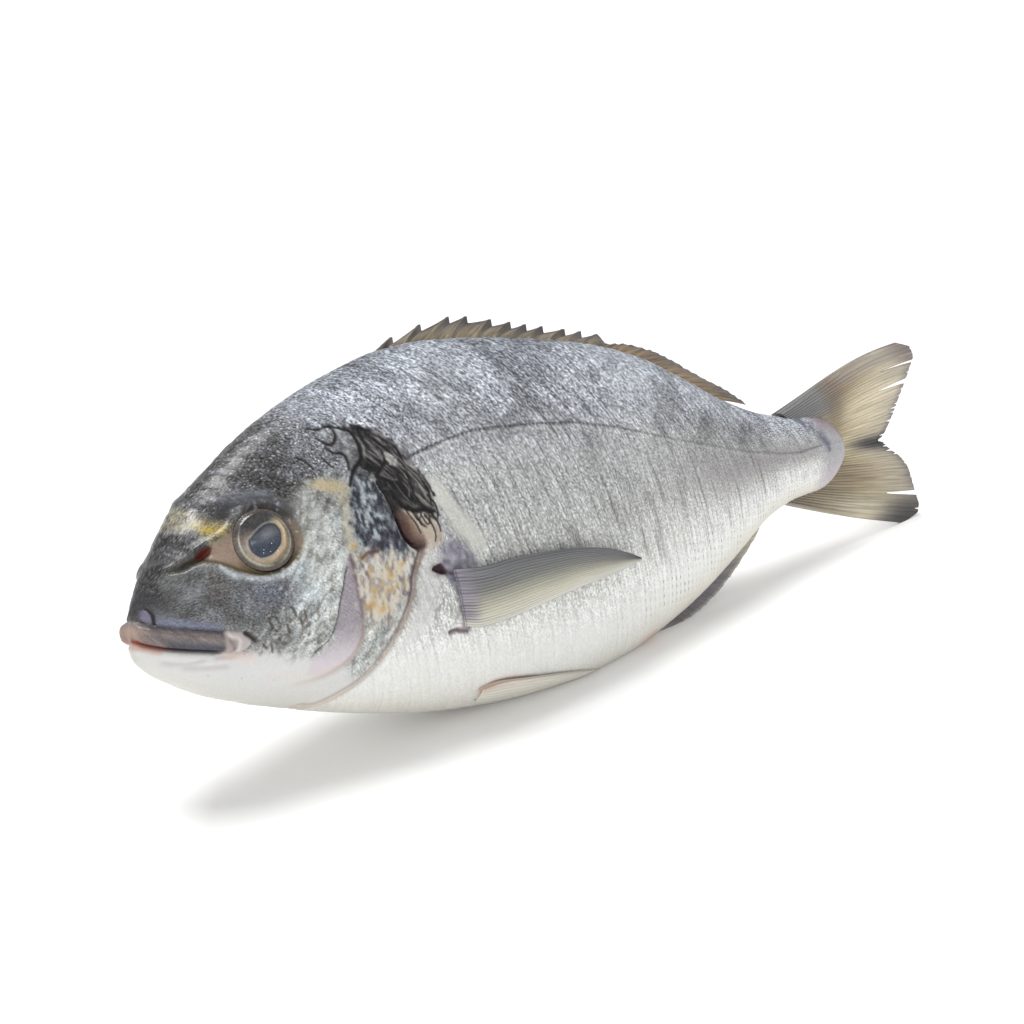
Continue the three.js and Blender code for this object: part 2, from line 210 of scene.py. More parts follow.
def make_object(name, verts, faces, cols, floats, uvs, node, material):
    """verts (n,3) metres, faces (m,4) with -1 in the last place for triangles, cols (n,3) sRGB 0-255, uvs (m,4,2)."""
    me = bpy.data.meshes.new(name)
    tri = faces[:, 3] < 0
    counts = np.where(tri, 3, 4)
    loops = faces[~((np.arange(4)[None] == 3) & tri[:, None])]
    uv = uvs[~((np.arange(4)[None] == 3) & tri[:, None])]
    me.vertices.add(len(verts)); me.vertices.foreach_set("co", np.ascontiguousarray(verts, np.float32).ravel())
    me.loops.add(len(loops)); me.loops.foreach_set("vertex_index", loops.astype(np.int32))
    me.polygons.add(len(faces))
    me.polygons.foreach_set("loop_start", np.concatenate([[0], np.cumsum(counts)[:-1]]).astype(np.int32))
    me.polygons.foreach_set("use_smooth", np.ones(len(faces), bool))
    me.update(calc_edges=True)
    layer = me.uv_layers.new(name="OFBake")
    layer.data.foreach_set("uv", np.ascontiguousarray(uv, np.float32).ravel())
    ca = me.color_attributes.new("Col", "FLOAT_COLOR", "POINT")
    c = np.ones((len(verts), 4), np.float32); c[:, :3] = lin(np.clip(cols, 0, 255))
    ca.data.foreach_set("color", c.ravel())
    for k, v in floats.items():
        a = me.attributes.new(k, "FLOAT", "POINT"); a.data.foreach_set("value", np.ascontiguousarray(v, np.float32).ravel())
    me.validate()
    ob = bpy.data.objects.new(name, me); scene.collection.objects.link(ob)
    me.materials.append(material)
    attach(ob, "root")
    if node:
        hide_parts(*([node] if isinstance(node, str) else node))
    return ob


# ------------------------------------------------------------------ materials
def node(nt, kind, **kw):
    n = nt.nodes.new(kind)
    for k, v in kw.items():
        if k in n.inputs:
            n.inputs[k].default_value = v
        else:
            setattr(n, k, v)
    return n


def material(name, grain=0.10, grain_scale=2600.0, bump=0.25, bump_scale=900.0, spec=0.5, metallic=0.0, coat=0.0, coat_rough=0.12, transmission=0.0):
    m = bpy.data.materials.new(name); m.use_nodes = True
    nt = m.node_tree; nt.nodes.clear()
    out = node(nt, "ShaderNodeOutputMaterial"); b = node(nt, "ShaderNodeBsdfPrincipled")
    nt.links.new(b.outputs[0], out.inputs[0])
    tc = node(nt, "ShaderNodeTexCoord")
    col = node(nt, "ShaderNodeAttribute", attribute_name="Col")
    rgh = node(nt, "ShaderNodeAttribute", attribute_name="rough")
    grn = node(nt, "ShaderNodeAttribute", attribute_name="grain")
    noise = node(nt, "ShaderNodeTexNoise", Scale=grain_scale, Detail=3.0, Roughness=0.65)
    nt.links.new(tc.outputs["Object"], noise.inputs["Vector"])
    # grain: colour * (1 + (noise - .5) * strength * grain attribute)
    sub = node(nt, "ShaderNodeMath", operation="SUBTRACT"); sub.inputs[1].default_value = 0.5
    nt.links.new(noise.outputs["Fac"], sub.inputs[0])
    mul = node(nt, "ShaderNodeMath", operation="MULTIPLY"); mul.inputs[1].default_value = grain * 4.0
    nt.links.new(sub.outputs[0], mul.inputs[0])
    mul2 = node(nt, "ShaderNodeMath", operation="MULTIPLY")
    nt.links.new(mul.outputs[0], mul2.inputs[0]); nt.links.new(grn.outputs["Fac"], mul2.inputs[1])
    add = node(nt, "ShaderNodeMath", operation="ADD"); add.inputs[1].default_value = 1.0
    nt.links.new(mul2.outputs[0], add.inputs[0])
    sc = node(nt, "ShaderNodeVectorMath", operation="SCALE")
    nt.links.new(col.outputs["Color"], sc.inputs[0]); nt.links.new(add.outputs[0], sc.inputs["Scale"])
    nt.links.new(sc.outputs[0], b.inputs["Base Color"])
    # roughness: attribute with a patchy variation
    n2 = node(nt, "ShaderNodeTexNoise", Scale=420.0, Detail=4.0, Roughness=0.6)
    nt.links.new(tc.outputs["Object"], n2.inputs["Vector"])
    mr = node(nt, "ShaderNodeMapRange"); mr.inputs["From Min"].default_value = 0.3; mr.inputs["From Max"].default_value = 0.7
    mr.inputs["To Min"].default_value = -0.10; mr.inputs["To Max"].default_value = 0.12
    nt.links.new(n2.outputs["Fac"], mr.inputs["Value"])
    ra = node(nt, "ShaderNodeMath", operation="ADD", use_clamp=True)
    nt.links.new(rgh.outputs["Fac"], ra.inputs[0]); nt.links.new(mr.outputs[0], ra.inputs[1])
    nt.links.new(ra.outputs[0], b.inputs["Roughness"])
    n3 = node(nt, "ShaderNodeTexNoise", Scale=bump_scale, Detail=4.0, Roughness=0.6)
    nt.links.new(tc.outputs["Object"], n3.inputs["Vector"])
    bp = node(nt, "ShaderNodeBump", Strength=bump, Distance=0.0002)
    nt.links.new(n3.outputs["Fac"], bp.inputs["Height"]); nt.links.new(bp.outputs[0], b.inputs["Normal"])
    b.inputs["Specular IOR Level"].default_value = spec
    b.inputs["Metallic"].default_value = metallic
    b.inputs["Coat Weight"].default_value = coat; b.inputs["Coat Roughness"].default_value = coat_rough
    b.inputs["Transmission Weight"].default_value = transmission
    return m


SKIN = material("skin_wet", grain=0.20, grain_scale=2300.0, bump=0.14, spec=0.28, coat=0.05, coat_rough=0.25)
FIN = material("fin_wet", grain=0.07, grain_scale=1800.0, bump=0.25, coat=0.06, coat_rough=0.25)
EYE = material("eye_wet", grain=0.03, bump=0.03, spec=0.35, coat=0.40, coat_rough=0.05)

# ------------------------------------------------------------------ body
n0 = np.arange(0, 5.0, 0.12); n1 = np.arange(5.0, 76.0, 0.30); n2 = np.arange(76.0, 245.0, 0.40); n3 = np.append(np.arange(245.0, 253.3, 0.22), 253.33)
xs = np.concatenate([n0, n1, n2, n3]) / SL
M = 262
Yh, Zh, Len, MidL = half_ring(xs, M)
X = np.repeat(xs[:, None], M, 1) * SL; Z = Zh * SL
T = np.repeat(np.linspace(0, 1, M)[None], len(xs), 0)
V = T * Len[:, None] * SL
LL = [(.2667, .0622), (.2958, .071), (.3292, .0785), (.3633, .084), (.405, .0841), (.4517, .0829), (.5083, .0798), (.5658, .0707), (.61, .0618), (.6717, .0489), (.75, .0345), (.82, .0225), (.8808, .0131), (.9208, .0091), (.9592, .0108), (1.0, .011)]
zll = np.interp(xs, [p[0] for p in LL], [p[1] for p in LL])
VLL = np.array([np.interp(zll[i], Zh[i][M // 3:], V[i][M // 3:]) for i in range(len(xs))])
pitch = np.interp(xs, [0, .25, .6, .8, .95, 1.04], [2.1, 2.45, 2.35, 1.85, 1.30, 1.1])
Ucum = np.concatenate([[0], np.cumsum(np.diff(xs) * SL / (0.5 * (pitch[1:] + pitch[:-1])))])
RR = (V - VLL[:, None]) / pitch[:, None]
UU = np.repeat(Ucum[:, None], M, 1)
_memo = {}


def _rows(pts, pad):
    a = min(p[0] for p in pts) * SL - pad; b = max(p[0] for p in pts) * SL + pad
    return slice(int(np.searchsorted(xs * SL, a)), int(np.searchsorted(xs * SL, b)))


def poly(pts, smooth=True, pad=6.0):
    key = ("p", tuple(pts), smooth, pad)
    if key not in _memo:
        s = _rows(pts, pad); d = np.full(X.shape, pad * 3.0); d[s] = poly_sd(X[s], Z[s], pts, smooth); _memo[key] = d
    return _memo[key]


def line(pts, pad=5.0):
    key = ("l", tuple(pts), pad)
    if key not in _memo:
        s = _rows(pts, pad); d, a, g = np.full(X.shape, pad * 3.0), np.zeros(X.shape), np.ones(X.shape)
        d[s], a[s], g[s] = line_dist(X[s], Z[s], pts); _memo[key] = (d, a, g)
    return _memo[key]


def inside(pts, edge=0.5, wob=0.0, seed=0, scale=1.0):
    """Mask of an outline with a soft, wobbling edge (mm)."""
    d = poly(pts)
    if wob:
        d = d + wob * (fbm(X / scale, V / scale, seed) - 0.5) * 2
    return sstep(edge, -edge, d)


def stroke(pts, width, seed=0, taper=0.5):
    """Mask of a tapering stroke; width in mm."""
    d, a, _ = line(pts)
    w = width * 0.5 * (1 - taper * np.abs(2 * a - 1) ** 2) * (0.75 + 0.5 * vnoise(X * 0.9, V * 0.9, seed))
    return sstep(w + 0.25, np.maximum(w - 0.25, -0.05), d)


GILL = [(.186, .300), (.190, .170), (.195, .125), (.2000, .1000), (.2408, .0992), (.2542, .0916), (.2675, .0821), (.2733, .0650), (.2858, .0452), (.2942, .0287), (.2967, .0131), (.2925, -.0063), (.2830, -.0200), (.2742, -.0245), (.2690, -.0330), (.2633, -.0450), (.2608, -.0571), (.2550, -.0730), (.2450, -.0889), (.2275, -.1153), (.2083, -.1348), (.1758, -.1510), (.1500, -.1535), (.1100, -.1450)]
EYE_C, EYE_N, EYE_R = np.array([0.1165, 0.0532, 0.0078]), np.array([-0.285, 0.930, 0.230]), 0.0290
EYE_N = EYE_N / np.linalg.norm(EYE_N)
SOCKET = [(.0342, -.0101), (.0483, -.0032), (.0583, .0044), (.07, .010), (.0867, .0175), (.1017, .0325), (.1167, .0385), (.1317, .0370), (.1442, .0280), (.1525, .012), (.1517, .0018), (.1417, -.0100), (.1308, -.0172), (.1175, -.0210), (.1017, -.0200), (.0875, -.0146), (.0742, -.0071), (.0633, -.0045), (.0533, -.0037), (.0408, -.0088)]
LIP_UP = [(-.004, -.0470), (.0017, -.0481), (.0058, -.0512), (.0142, -.0548), (.0275, -.0583), (.0467, -.0623), (.0667, -.0664)]
LIP_LOW = [(-.004, -.0640), (0, -.0655), (.0042, -.0691), (.015, -.0734), (.0333, -.0779), (.0542, -.0819), (.0692, -.0841)]
LIP = LIP_UP + [(.0760, -.0720), (.0760, -.0800)] + LIP_LOW[::-1]
KNOB = [(.0655, -.0674), (.0750, -.0672), (.0845, -.0700), (.0912, -.0745), (.0925, -.0790), (.0880, -.0840), (.0805, -.0864), (.0720, -.0862), (.0668, -.0825)]
PECB = [(.2983, -.0454), (.3158, -.0503), (.3375, -.0594), (.3475, -.0733), (.3417, -.0868), (.33, -.1012), (.3192, -.1009), (.3217, -.084), (.3158, -.0674), (.3033, -.0537)]
PECP = [(.2900, -.0440), (.2935, -.0330), (.2990, -.0200), (.3100, -.0130), (.3230, -.0190), (.335, -.0300), (.3370, -.0400), (.3250, -.0445), (.3080, -.0460)]
BLOTCH = [(.2283, .0990), (.2408, .0996), (.2542, .0920), (.2675, .0825), (.2745, .0670), (.2862, .0500), (.2945, .0330), (.2975, .0140), (.2900, .0090), (.2800, .0125), (.2683, .0177), (.2558, .0270), (.2458, .0371), (.2392, .0502), (.2310, .0545), (.2233, .0560), (.2215, .0620), (.2292, .0692), (.2325, .0811), (.2290, .0900)]
MEMB = [(.2517, .0272), (.2600, .0171), (.2692, .0068), (.2783, -.0064), (.2800, -.0175), (.2725, -.0193), (.2617, -.0133), (.2542, -.0020), (.2508, .0093)]
MEMBO = [(.2608, .0189), (.2750, .0142), (.2875, .0081), (.2992, -.0023), (.2992, -.0124), (.2892, -.0180), (.2792, -.0188), (.2750, -.0027), (.2658, .0088)]
OPER = [(.2092, .0457), (.2200, .0598), (.2308, .0567), (.2417, .0409), (.2500, .0216), (.2542, .0058), (.2650, -.0162), (.2725, -.0203), (.2525, -.0242), (.2383, -.0199), (.2242, -.0135), (.2050, -.0124), (.2017, .0117)]
OPERL = [(.1992, -.0178), (.2242, -.0135), (.2417, -.0215), (.2642, -.0227), (.2725, -.0222), (.2633, -.0300), (.2592, -.0405), (.2542, -.0550), (.2458, -.0686), (.2358, -.0825), (.2108, -.0792), (.2033, -.0633), (.1992, -.0327)]
GOLDB = [(.1692, .0530), (.1850, .0540), (.2058, .0488), (.2042, .0268), (.2025, .0057), (.2025, -.0091), (.1925, -.0094), (.1925, .0127), (.1933, .0306), (.1892, .0433), (.1700, .0468)]
STRIP = [(.1900, -.0165), (.1958, -.0172), (.2000, -.0475), (.2033, -.0749), (.2050, -.0934), (.1980, -.1080), (.1850, -.1170), (.1600, -.1200), (.1540, -.1100), (.1640, -.1000), (.1758, -.0893), (.1775, -.0744), (.1850, -.0385)]
STRIPL = [(.1883, -.0252), (.1842, -.0425), (.1808, -.0540), (.1775, -.0714), (.1708, -.0885), (.1600, -.0985)]
PREOP = [(.1950, -.0158), (.1975, -.0323), (.2000, -.0449), (.2025, -.0599), (.2050, -.0782), (.2042, -.0925), (.195, -.1097), (.1733, -.1215), (.1433, -.1262)]
EDGE = [(.2742, -.0212), (.2667, -.0307), (.2617, -.0424), (.2600, -.0552), (.2540, -.0730), (.2450, -.0889), (.2275, -.1153), (.2083, -.1348), (.1758, -.1510), (.1633, -.1522)]
CREST = [(1.0355, -.0015), (1.0318, .0283), (1.0004, .0587), (1.0234, -.0292), (.9942, -.0521)]
BLACK = [([(.2133, .1031), (.2142, .0939), (.2092, .0866), (.2025, .0861), (.1958, .0911)], .9),
         ([(.1992, .0837), (.2042, .0787), (.2133, .0758), (.2158, .0692), (.2142, .0616)], .9),
         ([(.1692, .0768), (.1767, .0719), (.1800, .0654)], .7), ([(.1917, .0750), (.1967, .0680), (.1992, .0648)], .6),
         ([(.2208, .0993), (.2300, .0950), (.2325, .0857), (.2317, .0766), (.2292, .0692), (.2208, .0625), (.2150, .0555), (.2100, .0469)], 1.4),
         ([(.2383, .0976), (.2383, .0870), (.2417, .0790)], 1.1), ([(.2458, .0892), (.2533, .0823), (.2608, .0738), (.2658, .0641)], 1.0),
         ([(.2533, .0899), (.2642, .0827), (.2700, .0747), (.2717, .0651), (.2742, .0572)], .9),
         ([(.2533, .0744), (.2542, .0670), (.2475, .0596), (.2408, .0542)], 1.1),
         ([(.2717, .0587), (.2783, .0522), (.2850, .0434), (.2917, .0337), (.2925, .0227)], 1.0),
         ([(.2717, .0543), (.2742, .0429), (.2750, .0338), (.2708, .0284)], .9),
         ([(.2458, .0387), (.2558, .0270), (.2617, .0217), (.2717, .0173), (.2833, .0175), (.2942, .0137)], 1.6),
         ([(.2817, .0118), (.2883, .0036), (.2917, -.0063), (.2908, -.0133)], .7), ([(.2725, .0126), (.2767, .0046), (.2817, .0009)], .8),
         ([(.2758, .0306), (.2808, .0224), (.2892, .0171)], 1.0), ([(.1917, .1023), (.1992, .1001), (.2108, .1019), (.2208, .0993)], .8),
         ([(.2880, .0150), (.2935, .0080), (.2975, .0010), (.2985, -.0050)], .55), ([(.2780, .0130), (.2825, .0040), (.2862, .0045), (.2872, .0115)], .5), ([(.2690, .0190), (.2722, .0095), (.2765, .0100), (.2790, .0140)], .5),
         ([(.2900, .0300), (.2965, .0210), (.2985, .0120), (.2960, .0060)], .5), ([(.2610, .0235), (.2640, .0150), (.2700, .0060), (.2745, -.0040)], .45), ([(.2850, .0560), (.2930, .0420), (.2975, .0280)], .4)]
GLINT = [([(.2500, .0930), (.2600, .0870), (.2690, .0790)], .4), ([(.2700, .0660), (.2760, .0560), (.2830, .0480), (.2890, .0380)], .45),
         ([(.2790, .0480), (.2850, .0380), (.2880, .0260)], .4), ([(.2440, .0540), (.2530, .0490), (.2600, .0470)], .3),
         ([(.2660, .0440), (.2700, .0370), (.2690, .0310)], .4), ([(.2800, .0320), (.2840, .0250), (.2900, .0190)], .35),
         ([(.2340, .0900), (.2360, .0800), (.2330, .0700)], .35), ([(.2850, .0080), (.2890, .0120), (.2940, .0090)], .35)]
WRINK = [[(.1092, -.0597), (.1133, -.0690), (.1183, -.0734)], [(.1092, -.0603), (.1150, -.0597), (.1200, -.0658)], [(.1325, -.0528), (.1367, -.0619)],
         [(.1442, -.0573), (.1467, -.0651)], [(.1275, -.0680), (.1308, -.0761)], [(.1575, -.0978), (.1700, -.0892)], [(.1408, -.0640), (.1425, -.0716)],
         [(.1042, -.0825), (.1092, -.0875)], [(.1125, -.0836), (.1150, -.0916)], [(.1200, -.0790), (.1233, -.0853)]]
PALE = [(.2258, .0559, .0067, .0072), (.2442, .0235, .0042, .0055), (.2342, .0149, .0050, .0042), (.2433, .0085, .0050, .0062), (.2208, .0426, .0050, .0055),
        (.2275, .0298, .0033, .0043), (.2208, .0173, .0025, .0043), (.1708, .0549, .0042, .0024), (.2233, -.0011, .0050, .0046), (.1867, .0152, .0033, .0030),
        (.2050, .0955, .0050, .0036), (.2192, .0964, .0033, .0023), (.1675, .0652, .0017, .0019), (.1808, .0747, .0017, .0019)]
ORANGE = [(.2133, -.0307, .0033, .0041), (.2325, -.0325, .0033, .0031), (.2175, -.0502, .0067, .0037), (.2133, -.0623, .0092, .0063), (.2250, -.0681, .0067, .0054),
          (.2358, -.0388, .0067, .0048), (.2483, -.0296, .0033, .0035), (.2058, -.0193, .0042, .0024), (.1983, -.0072, .0042, .0035), (.2317, -.0519, .0067, .0038),
          (.2400, -.0490, .0033, .0029), (.2250, -.0449, .0033, .0028)]


def ramp(t, stops):
    """Colour ramp over t: stops are (t, r, g, b)."""
    s = np.asarray(stops, float)
    return np.stack([np.interp(t, s[:, 0], s[:, k]) for k in (1, 2, 3)], -1)


def paint(side):
    """Colours, roughness, grain and displacement (mm) of one flank."""
    o = 0 if side < 0 else 9
    gd, ga, gs = line(GILL, 400.0)
    behind = gd * gs  # mm behind the gill line, negative on the head
    # above the gill line's top the head passes into the nape
    # ---- flank
    te = T + 0.10 * sstep(.45, .85, X / SL) * sstep(1.0, .4, T) * -1 + (fbm(X / 14, V / 9, 3 + o) - .5) * .07
    col = ramp(te, [(0, 206, 203, 194), (.06, 214, 212, 203), (.15, 223, 223, 219), (.25, 224, 225, 222), (.31, 214, 215, 211), (.38, 198, 199, 196), (.46, 182, 183, 181), (.54, 171, 172, 172),
                    (.60, 172, 174, 173), (.68, 166, 168, 170), (.75, 148, 151, 158), (.83, 150, 154, 162), (.90, 146, 151, 160), (.97, 128, 133, 142), (1, 120, 124, 132)])
    # diagonal flow lines along the scale rows
    shear = np.where(RR < 0, 0.42 * RR, 0.68 * RR)
    u = UU + shear
    row = np.floor(RR); f = RR - row - 0.5
    jit = (hash2(row + 40, np.floor(u) + 7, 5 + o) - .5)
    uu = u - 0.15 * (1 - (2 * f) ** 2) + 0.30 * (fbm(X / 9, V / 9, 8 + o) - .5)
    g = uu - np.floor(uu)
    cell = hash2(row + 31, np.floor(uu) + 3, 2 + o)
    hw_ = .25 + 9 * sstep(.098, .125, Z / SL)
    onflank = 1 - sstep(hw_, -hw_, behind)
    upper = sstep(-1.0, 1.5, RR)
    belly = sstep(.34, .20, T)
    # each scale lifts toward its rear edge
    saw = np.where(g < .86, g / .86, (1 - g) / .14)
    disp = onflank * (0.10 * saw - .05) * (1 - .65 * belly) * sstep(1.03, .985, X / SL)
    disp += onflank * 0.05 * (cell - .5)
    # painted shade: a dark band in the gap just behind each scale's lifted rear edge, in patches, and as short dashes
    # on the lower rear rows
    edge = np.exp(-((g - .93) / .10) ** 2)
    patch = sstep(.38, .68, fbm(X / 9, V / 6, 12 + o))
    patch2 = sstep(.45, .70, fbm(u * .9, RR * .22, 14 + o, 3))
    edge_shade = edge * (0.35 + 0.9 * patch2) * (0.45 + 0.8 * cell)
    amp = ramp(T, [(0, .02, 0, 0), (.20, .03, 0, 0), (.30, .12, 0, 0), (.40, .26, 0, 0), (.50, .31, 0, 0), (.65, .32, 0, 0), (.80, .34, 0, 0), (.92, .30, 0, 0), (1, .18, 0, 0)])[..., 0]
    rear = sstep(.50, .66, X / SL)
    lowrear = rear * sstep(.50, .36, T) * sstep(.10, .20, T)
    amp = np.maximum(amp, lowrear * .50 * np.exp(-(f / .30) ** 2))
    col = col * (1 - onflank * amp * edge_shade)[..., None]
    # scale bodies: a random tint each, and a painted highlight on the raised part just before each rear edge; the short
    # dark dashes on the lower rows at the rear come from the painted edge shade above
    col = col * (1 + onflank * (.05 + .05 * upper) * (cell - .45) * (1 - .7 * belly))[..., None]
    edge_highlight = np.exp(-((g - .70) / .14) ** 2) * onflank
    col = col * (1 + .06 * edge_highlight * (1 - belly))[..., None]
    # fine hair-like lines on the flank, near upright below the lateral line and slanting above it
    hair = fbm(u * 7.0, RR * .55, 4 + o, 3)
    col = col * (1 + onflank * (hair - .5) * (.40 + .26 * upper) * (1 - .85 * belly))[..., None]
    # a few long dark curves
    longc = sstep(.80, .90, vnoise(np.floor(u) * 1.0 + .5, RR * .10 + 3.3, 6 + o)) * np.exp(-((g - .95) / .09) ** 2)
    col = col * (1 - onflank * .24 * longc * (1 - belly))[..., None]
    # grain: white and dark specks, strongest on the back; the white specks are partly the skin's own flecks and partly
    # painted wet glints
    gr = _rng_side[side]
    speck = gr[0]
    backm = sstep(.62, .86, T)
    cloud = sstep(.45, .75, fbm(X / 11, V / 7, 15 + o))
    col += onflank[..., None] * (((speck - .5) * (82 + 78 * backm) * (1 - .84 * belly) * (1 - .45 * lowrear))[..., None])
    col += onflank[..., None] * ((sstep(.86, .98, gr[1]) * (34 + 44 * backm) * (1 - .8 * belly) * (.5 + cloud))[..., None]) * np.array([.96, 1.0, 1.06])
    col = mixc(col, col * .78 + 4, onflank * backm * cloud * .0)
    # pale cloud on the shoulder and along the back's top, partly the skin's pale tone and partly painted sheen
    pale_and_sheen = np.exp(-ell(X, Z, .345, .128, .045, .030, 20) ** 2) + .8 * np.exp(-ell(X, Z, .62, .115, .07, .030, -18) ** 2) + .6 * np.exp(-ell(X, Z, .79, .073, .045, .016, -25) ** 2)
    col = mixc(col, (205, 210, 213), onflank * np.clip(pale_and_sheen, 0, 1) * (.30 + .5 * (speck > .5)) * .75)
    dk = np.exp(-ell(X, Z, .485, .140, .055, .020, -5) ** 2) + .8 * np.exp(-ell(X, Z, .80, .040, .06, .020, -15) ** 2) + .5 * np.exp(-ell(X, Z, .72, .060, .05, .022, -15) ** 2)
    dk = dk + 1.1 * np.exp(-ell(X, Z, .292, .104, .030, .022, 20) ** 2) + .7 * np.exp(-ell(X, Z, .375, .100, .045, .014, -8) ** 2)
    col = col * (1 - .16 * onflank * np.clip(dk, 0, 1.1))[..., None]
    dark_ = sstep(.50, .70, fbm(X / 10, V / 7, 18 + o)) * sstep(.60, .74, T)
    col = col * (1 - .17 * onflank * dark_)[..., None]
    streak2 = sstep(.60, .82, fbm(u * 1.6, RR * .16, 20 + o, 3)) * sstep(.24, .40, T)
    col = col * (1 - .22 * onflank * streak2)[..., None]
    # painted light: the lower rear flank made lighter to offset the shade under the belly
    col = col * (1 + .06 * onflank * sstep(.55, .75, X / SL) * sstep(.36, .22, T))[..., None]
    # lateral line: dark dotted pores
    ld = (V - VLL[:, None])
    onll = sstep(.262, .270, X / SL)
    dots = .55 + .45 * np.cos(UU * 2 * np.pi * 1.7)
    lw = np.exp(-((ld + .25 * (fbm(UU * 3.1, RR * 0, 3) - .5)) / .34) ** 2) * (.45 + .9 * gr[1])
    llamp = np.interp(X / SL, [.26, .34, .50, .62, .72, .88, .95, 1.0], [1.15, 1.0, .75, .50, .28, .34, .60, .0])
    col = mixc(col, (40, 40, 45), np.clip(onll * lw * llamp * (.30 + .85 * dots) * onflank, 0, 1))
    col = mixc(col, (215, 216, 216), onll * np.exp(-((ld + .9) / .4) ** 2) * .22 * onflank)
    disp += onll * onflank * (0.16 * np.exp(-(ld / .8) ** 2) - .22 * lw * dots)
    # pink-grey band along the middle of the rear flank
    col = mixc(col, (136, 130, 134), onflank * .50 * sstep(.55, .80, X / SL) * sstep(1.0, .93, X / SL) * np.exp(-((T - .55) / .10) ** 2))
    # peduncle end: lavender crescent on the tail base
    cr = .90 * sstep(.952, .992, X / SL + .9 * (Z / SL) ** 2 * 2 + .020 * (fbm(X / 1.6, V / 1.6, 25) - .5))
    col = mixc(col, ramp(np.clip(T + 0 * cr, 0, 1), [(0, 208, 205, 200), (.2, 186, 178, 185), (.45, 170, 169, 173), (.7, 174, 174, 179), (.88, 146, 130, 137), (1, 112, 100, 101)]) + (speck[..., None] - .5) * 40, cr)
    # the blue-dark diagonal band in front of it
    bd, _, _ = line([(.935, .050), (.955, .036), (.975, .022), (.990, .006)], 6.0)
    col = mixc(col, (92, 92, 108), .75 * np.exp(-(bd / 1.6) ** 2) * sstep(.35, .6, fbm(X / 2, V / 2, 3)))
    # white underside near the vent, slightly pink
    vent = np.exp(-ell(X, Z, .645, -.158, .020, .010) ** 2)
    col = mixc(col, (205, 165, 150), .6 * vent)
    # soft speckled rays in front of the pectoral base
    fan = np.exp(-ell(X, Z, .297, -.073, .028, .024, 30) ** 2)
    ang = np.arctan2(Z - (-.045 * SL), X - .30 * SL)
    col = mixc(col, (120, 120, 118), fan * .62 * sstep(.48, .72, vnoise(ang * 16, np.hypot(X - .30 * SL, Z + .045 * SL) * .5, 9 + o)))
    # pale smooth band behind the gill opening
    pb, pa, _ = line([(.300, .036), (.3125, .0165), (.327, -.004), (.345, -.020)], 9.0)
    col = mixc(col, (203, 202, 196), .85 * sstep(3.6, 1.2, pb) * sstep(0, .12, pa + .1))
    pb2 = inside([(.2760, -.0260), (.2900, -.0220), (.2960, -.0420), (.2900, -.0600), (.2800, -.0900), (.2600, -.1050), (.2500, -.1020), (.2650, -.0650), (.2680, -.0420)], 1.2)
    col = mixc(col, (206, 206, 205), .65 * pb2)

    # ---- head
    H = sstep(hw_, -hw_, behind)
    nape = sstep(.135, .215, X / SL + .12 * (Z / SL - .10))  # the head's top passes into the back
    fn = fbm(X / 3.2, V / 3.2, 6 + o); fm = fbm(X / 7, V / 7, 16 + o)
    hc = np.empty(col.shape); hc[:] = (126, 128, 128)
    # silver cheek behind the eye and below it
    hc = mixc(hc, (176, 179, 176), sstep(.118, .152, X / SL) * sstep(.045, .0, Z / SL)); hc = mixc(hc, (190, 200, 206), .7 * np.exp(-ell(X, Z, .140, -.022, .016, .010, 30) ** 2) + .6 * np.exp(-ell(X, Z, .152, -.050, .020, .018, 50) ** 2))
    # mottling: pits and bright flecks running down and back
    a1 = (X * .62 + Z * .78); a2 = (-X * .78 + Z * .62)
    mot = fbm(a1 / 2.6, a2 / 1.1, 17 + o, 4)
    hc += ((mot - .5) * 125)[..., None] * sstep(.06, .11, X / SL)[..., None]
    mid = inside([(.020, -.030), (.045, -.0130), (.070, -.0115), (.100, -.0240), (.128, -.0240), (.128, -.040), (.118, -.058), (.104, -.0660), (.075, -.0610), (.045, -.0560), (.022, -.0500), (.012, -.0440)], 2.2, 1.0, 5 + o, 3.0)
    hc = mixc(hc, ramp(fn, [(0, 56, 55, 53), (.4, 84, 84, 84), (.6, 100, 101, 104), (1, 140, 142, 146)]), mid * .95)
    hc = mixc(hc, (98, 104, 120), .5 * np.exp(-ell(X, Z, .112, -.038, .020, .012, -20) ** 2))
    hc = mixc(hc, (150, 155, 160), .5 * np.exp(-ell(X, Z, .045, -.028, .018, .007, 35) ** 2))
    hc = mixc(hc, (116, 108, 106), .45 * np.exp(-ell(X, Z, .066, -.026, .010, .012) ** 2))
    # white lower jaw, throat and cheek bottom
    wline = [(-.01, -.0700), (.0042, -.0700), (.015, -.0745), (.0333, -.0790), (.0542, -.0832), (.0700, -.0870), (.0900, -.0890), (.1120, -.0880), (.1400, -.0960), (.1620, -.1040), (.1750, -.1090), (.2000, -.1220), (.24, -.16), (.1, -.2), (-.01, -.2)]
    wd = poly(tuple(wline), False, 30.0)
    wm = sstep(1.6, -1.6, wd + (fbm(X / 1.4, V / 1.4, 18 + o) - .5) * 3.2 * sstep(.085, .105, X / SL))
    wcol = ramp(T, [(0, 198, 196, 188), (.08, 202, 201, 196), (.2, 207, 207, 206), (.4, 206, 204, 202)])
    hc = mixc(hc, wcol, wm)
    hc = mixc(hc, (214, 214, 214), wm * .5 * np.exp(-ell(X, Z, .125, -.108, .035, .012, -15) ** 2))
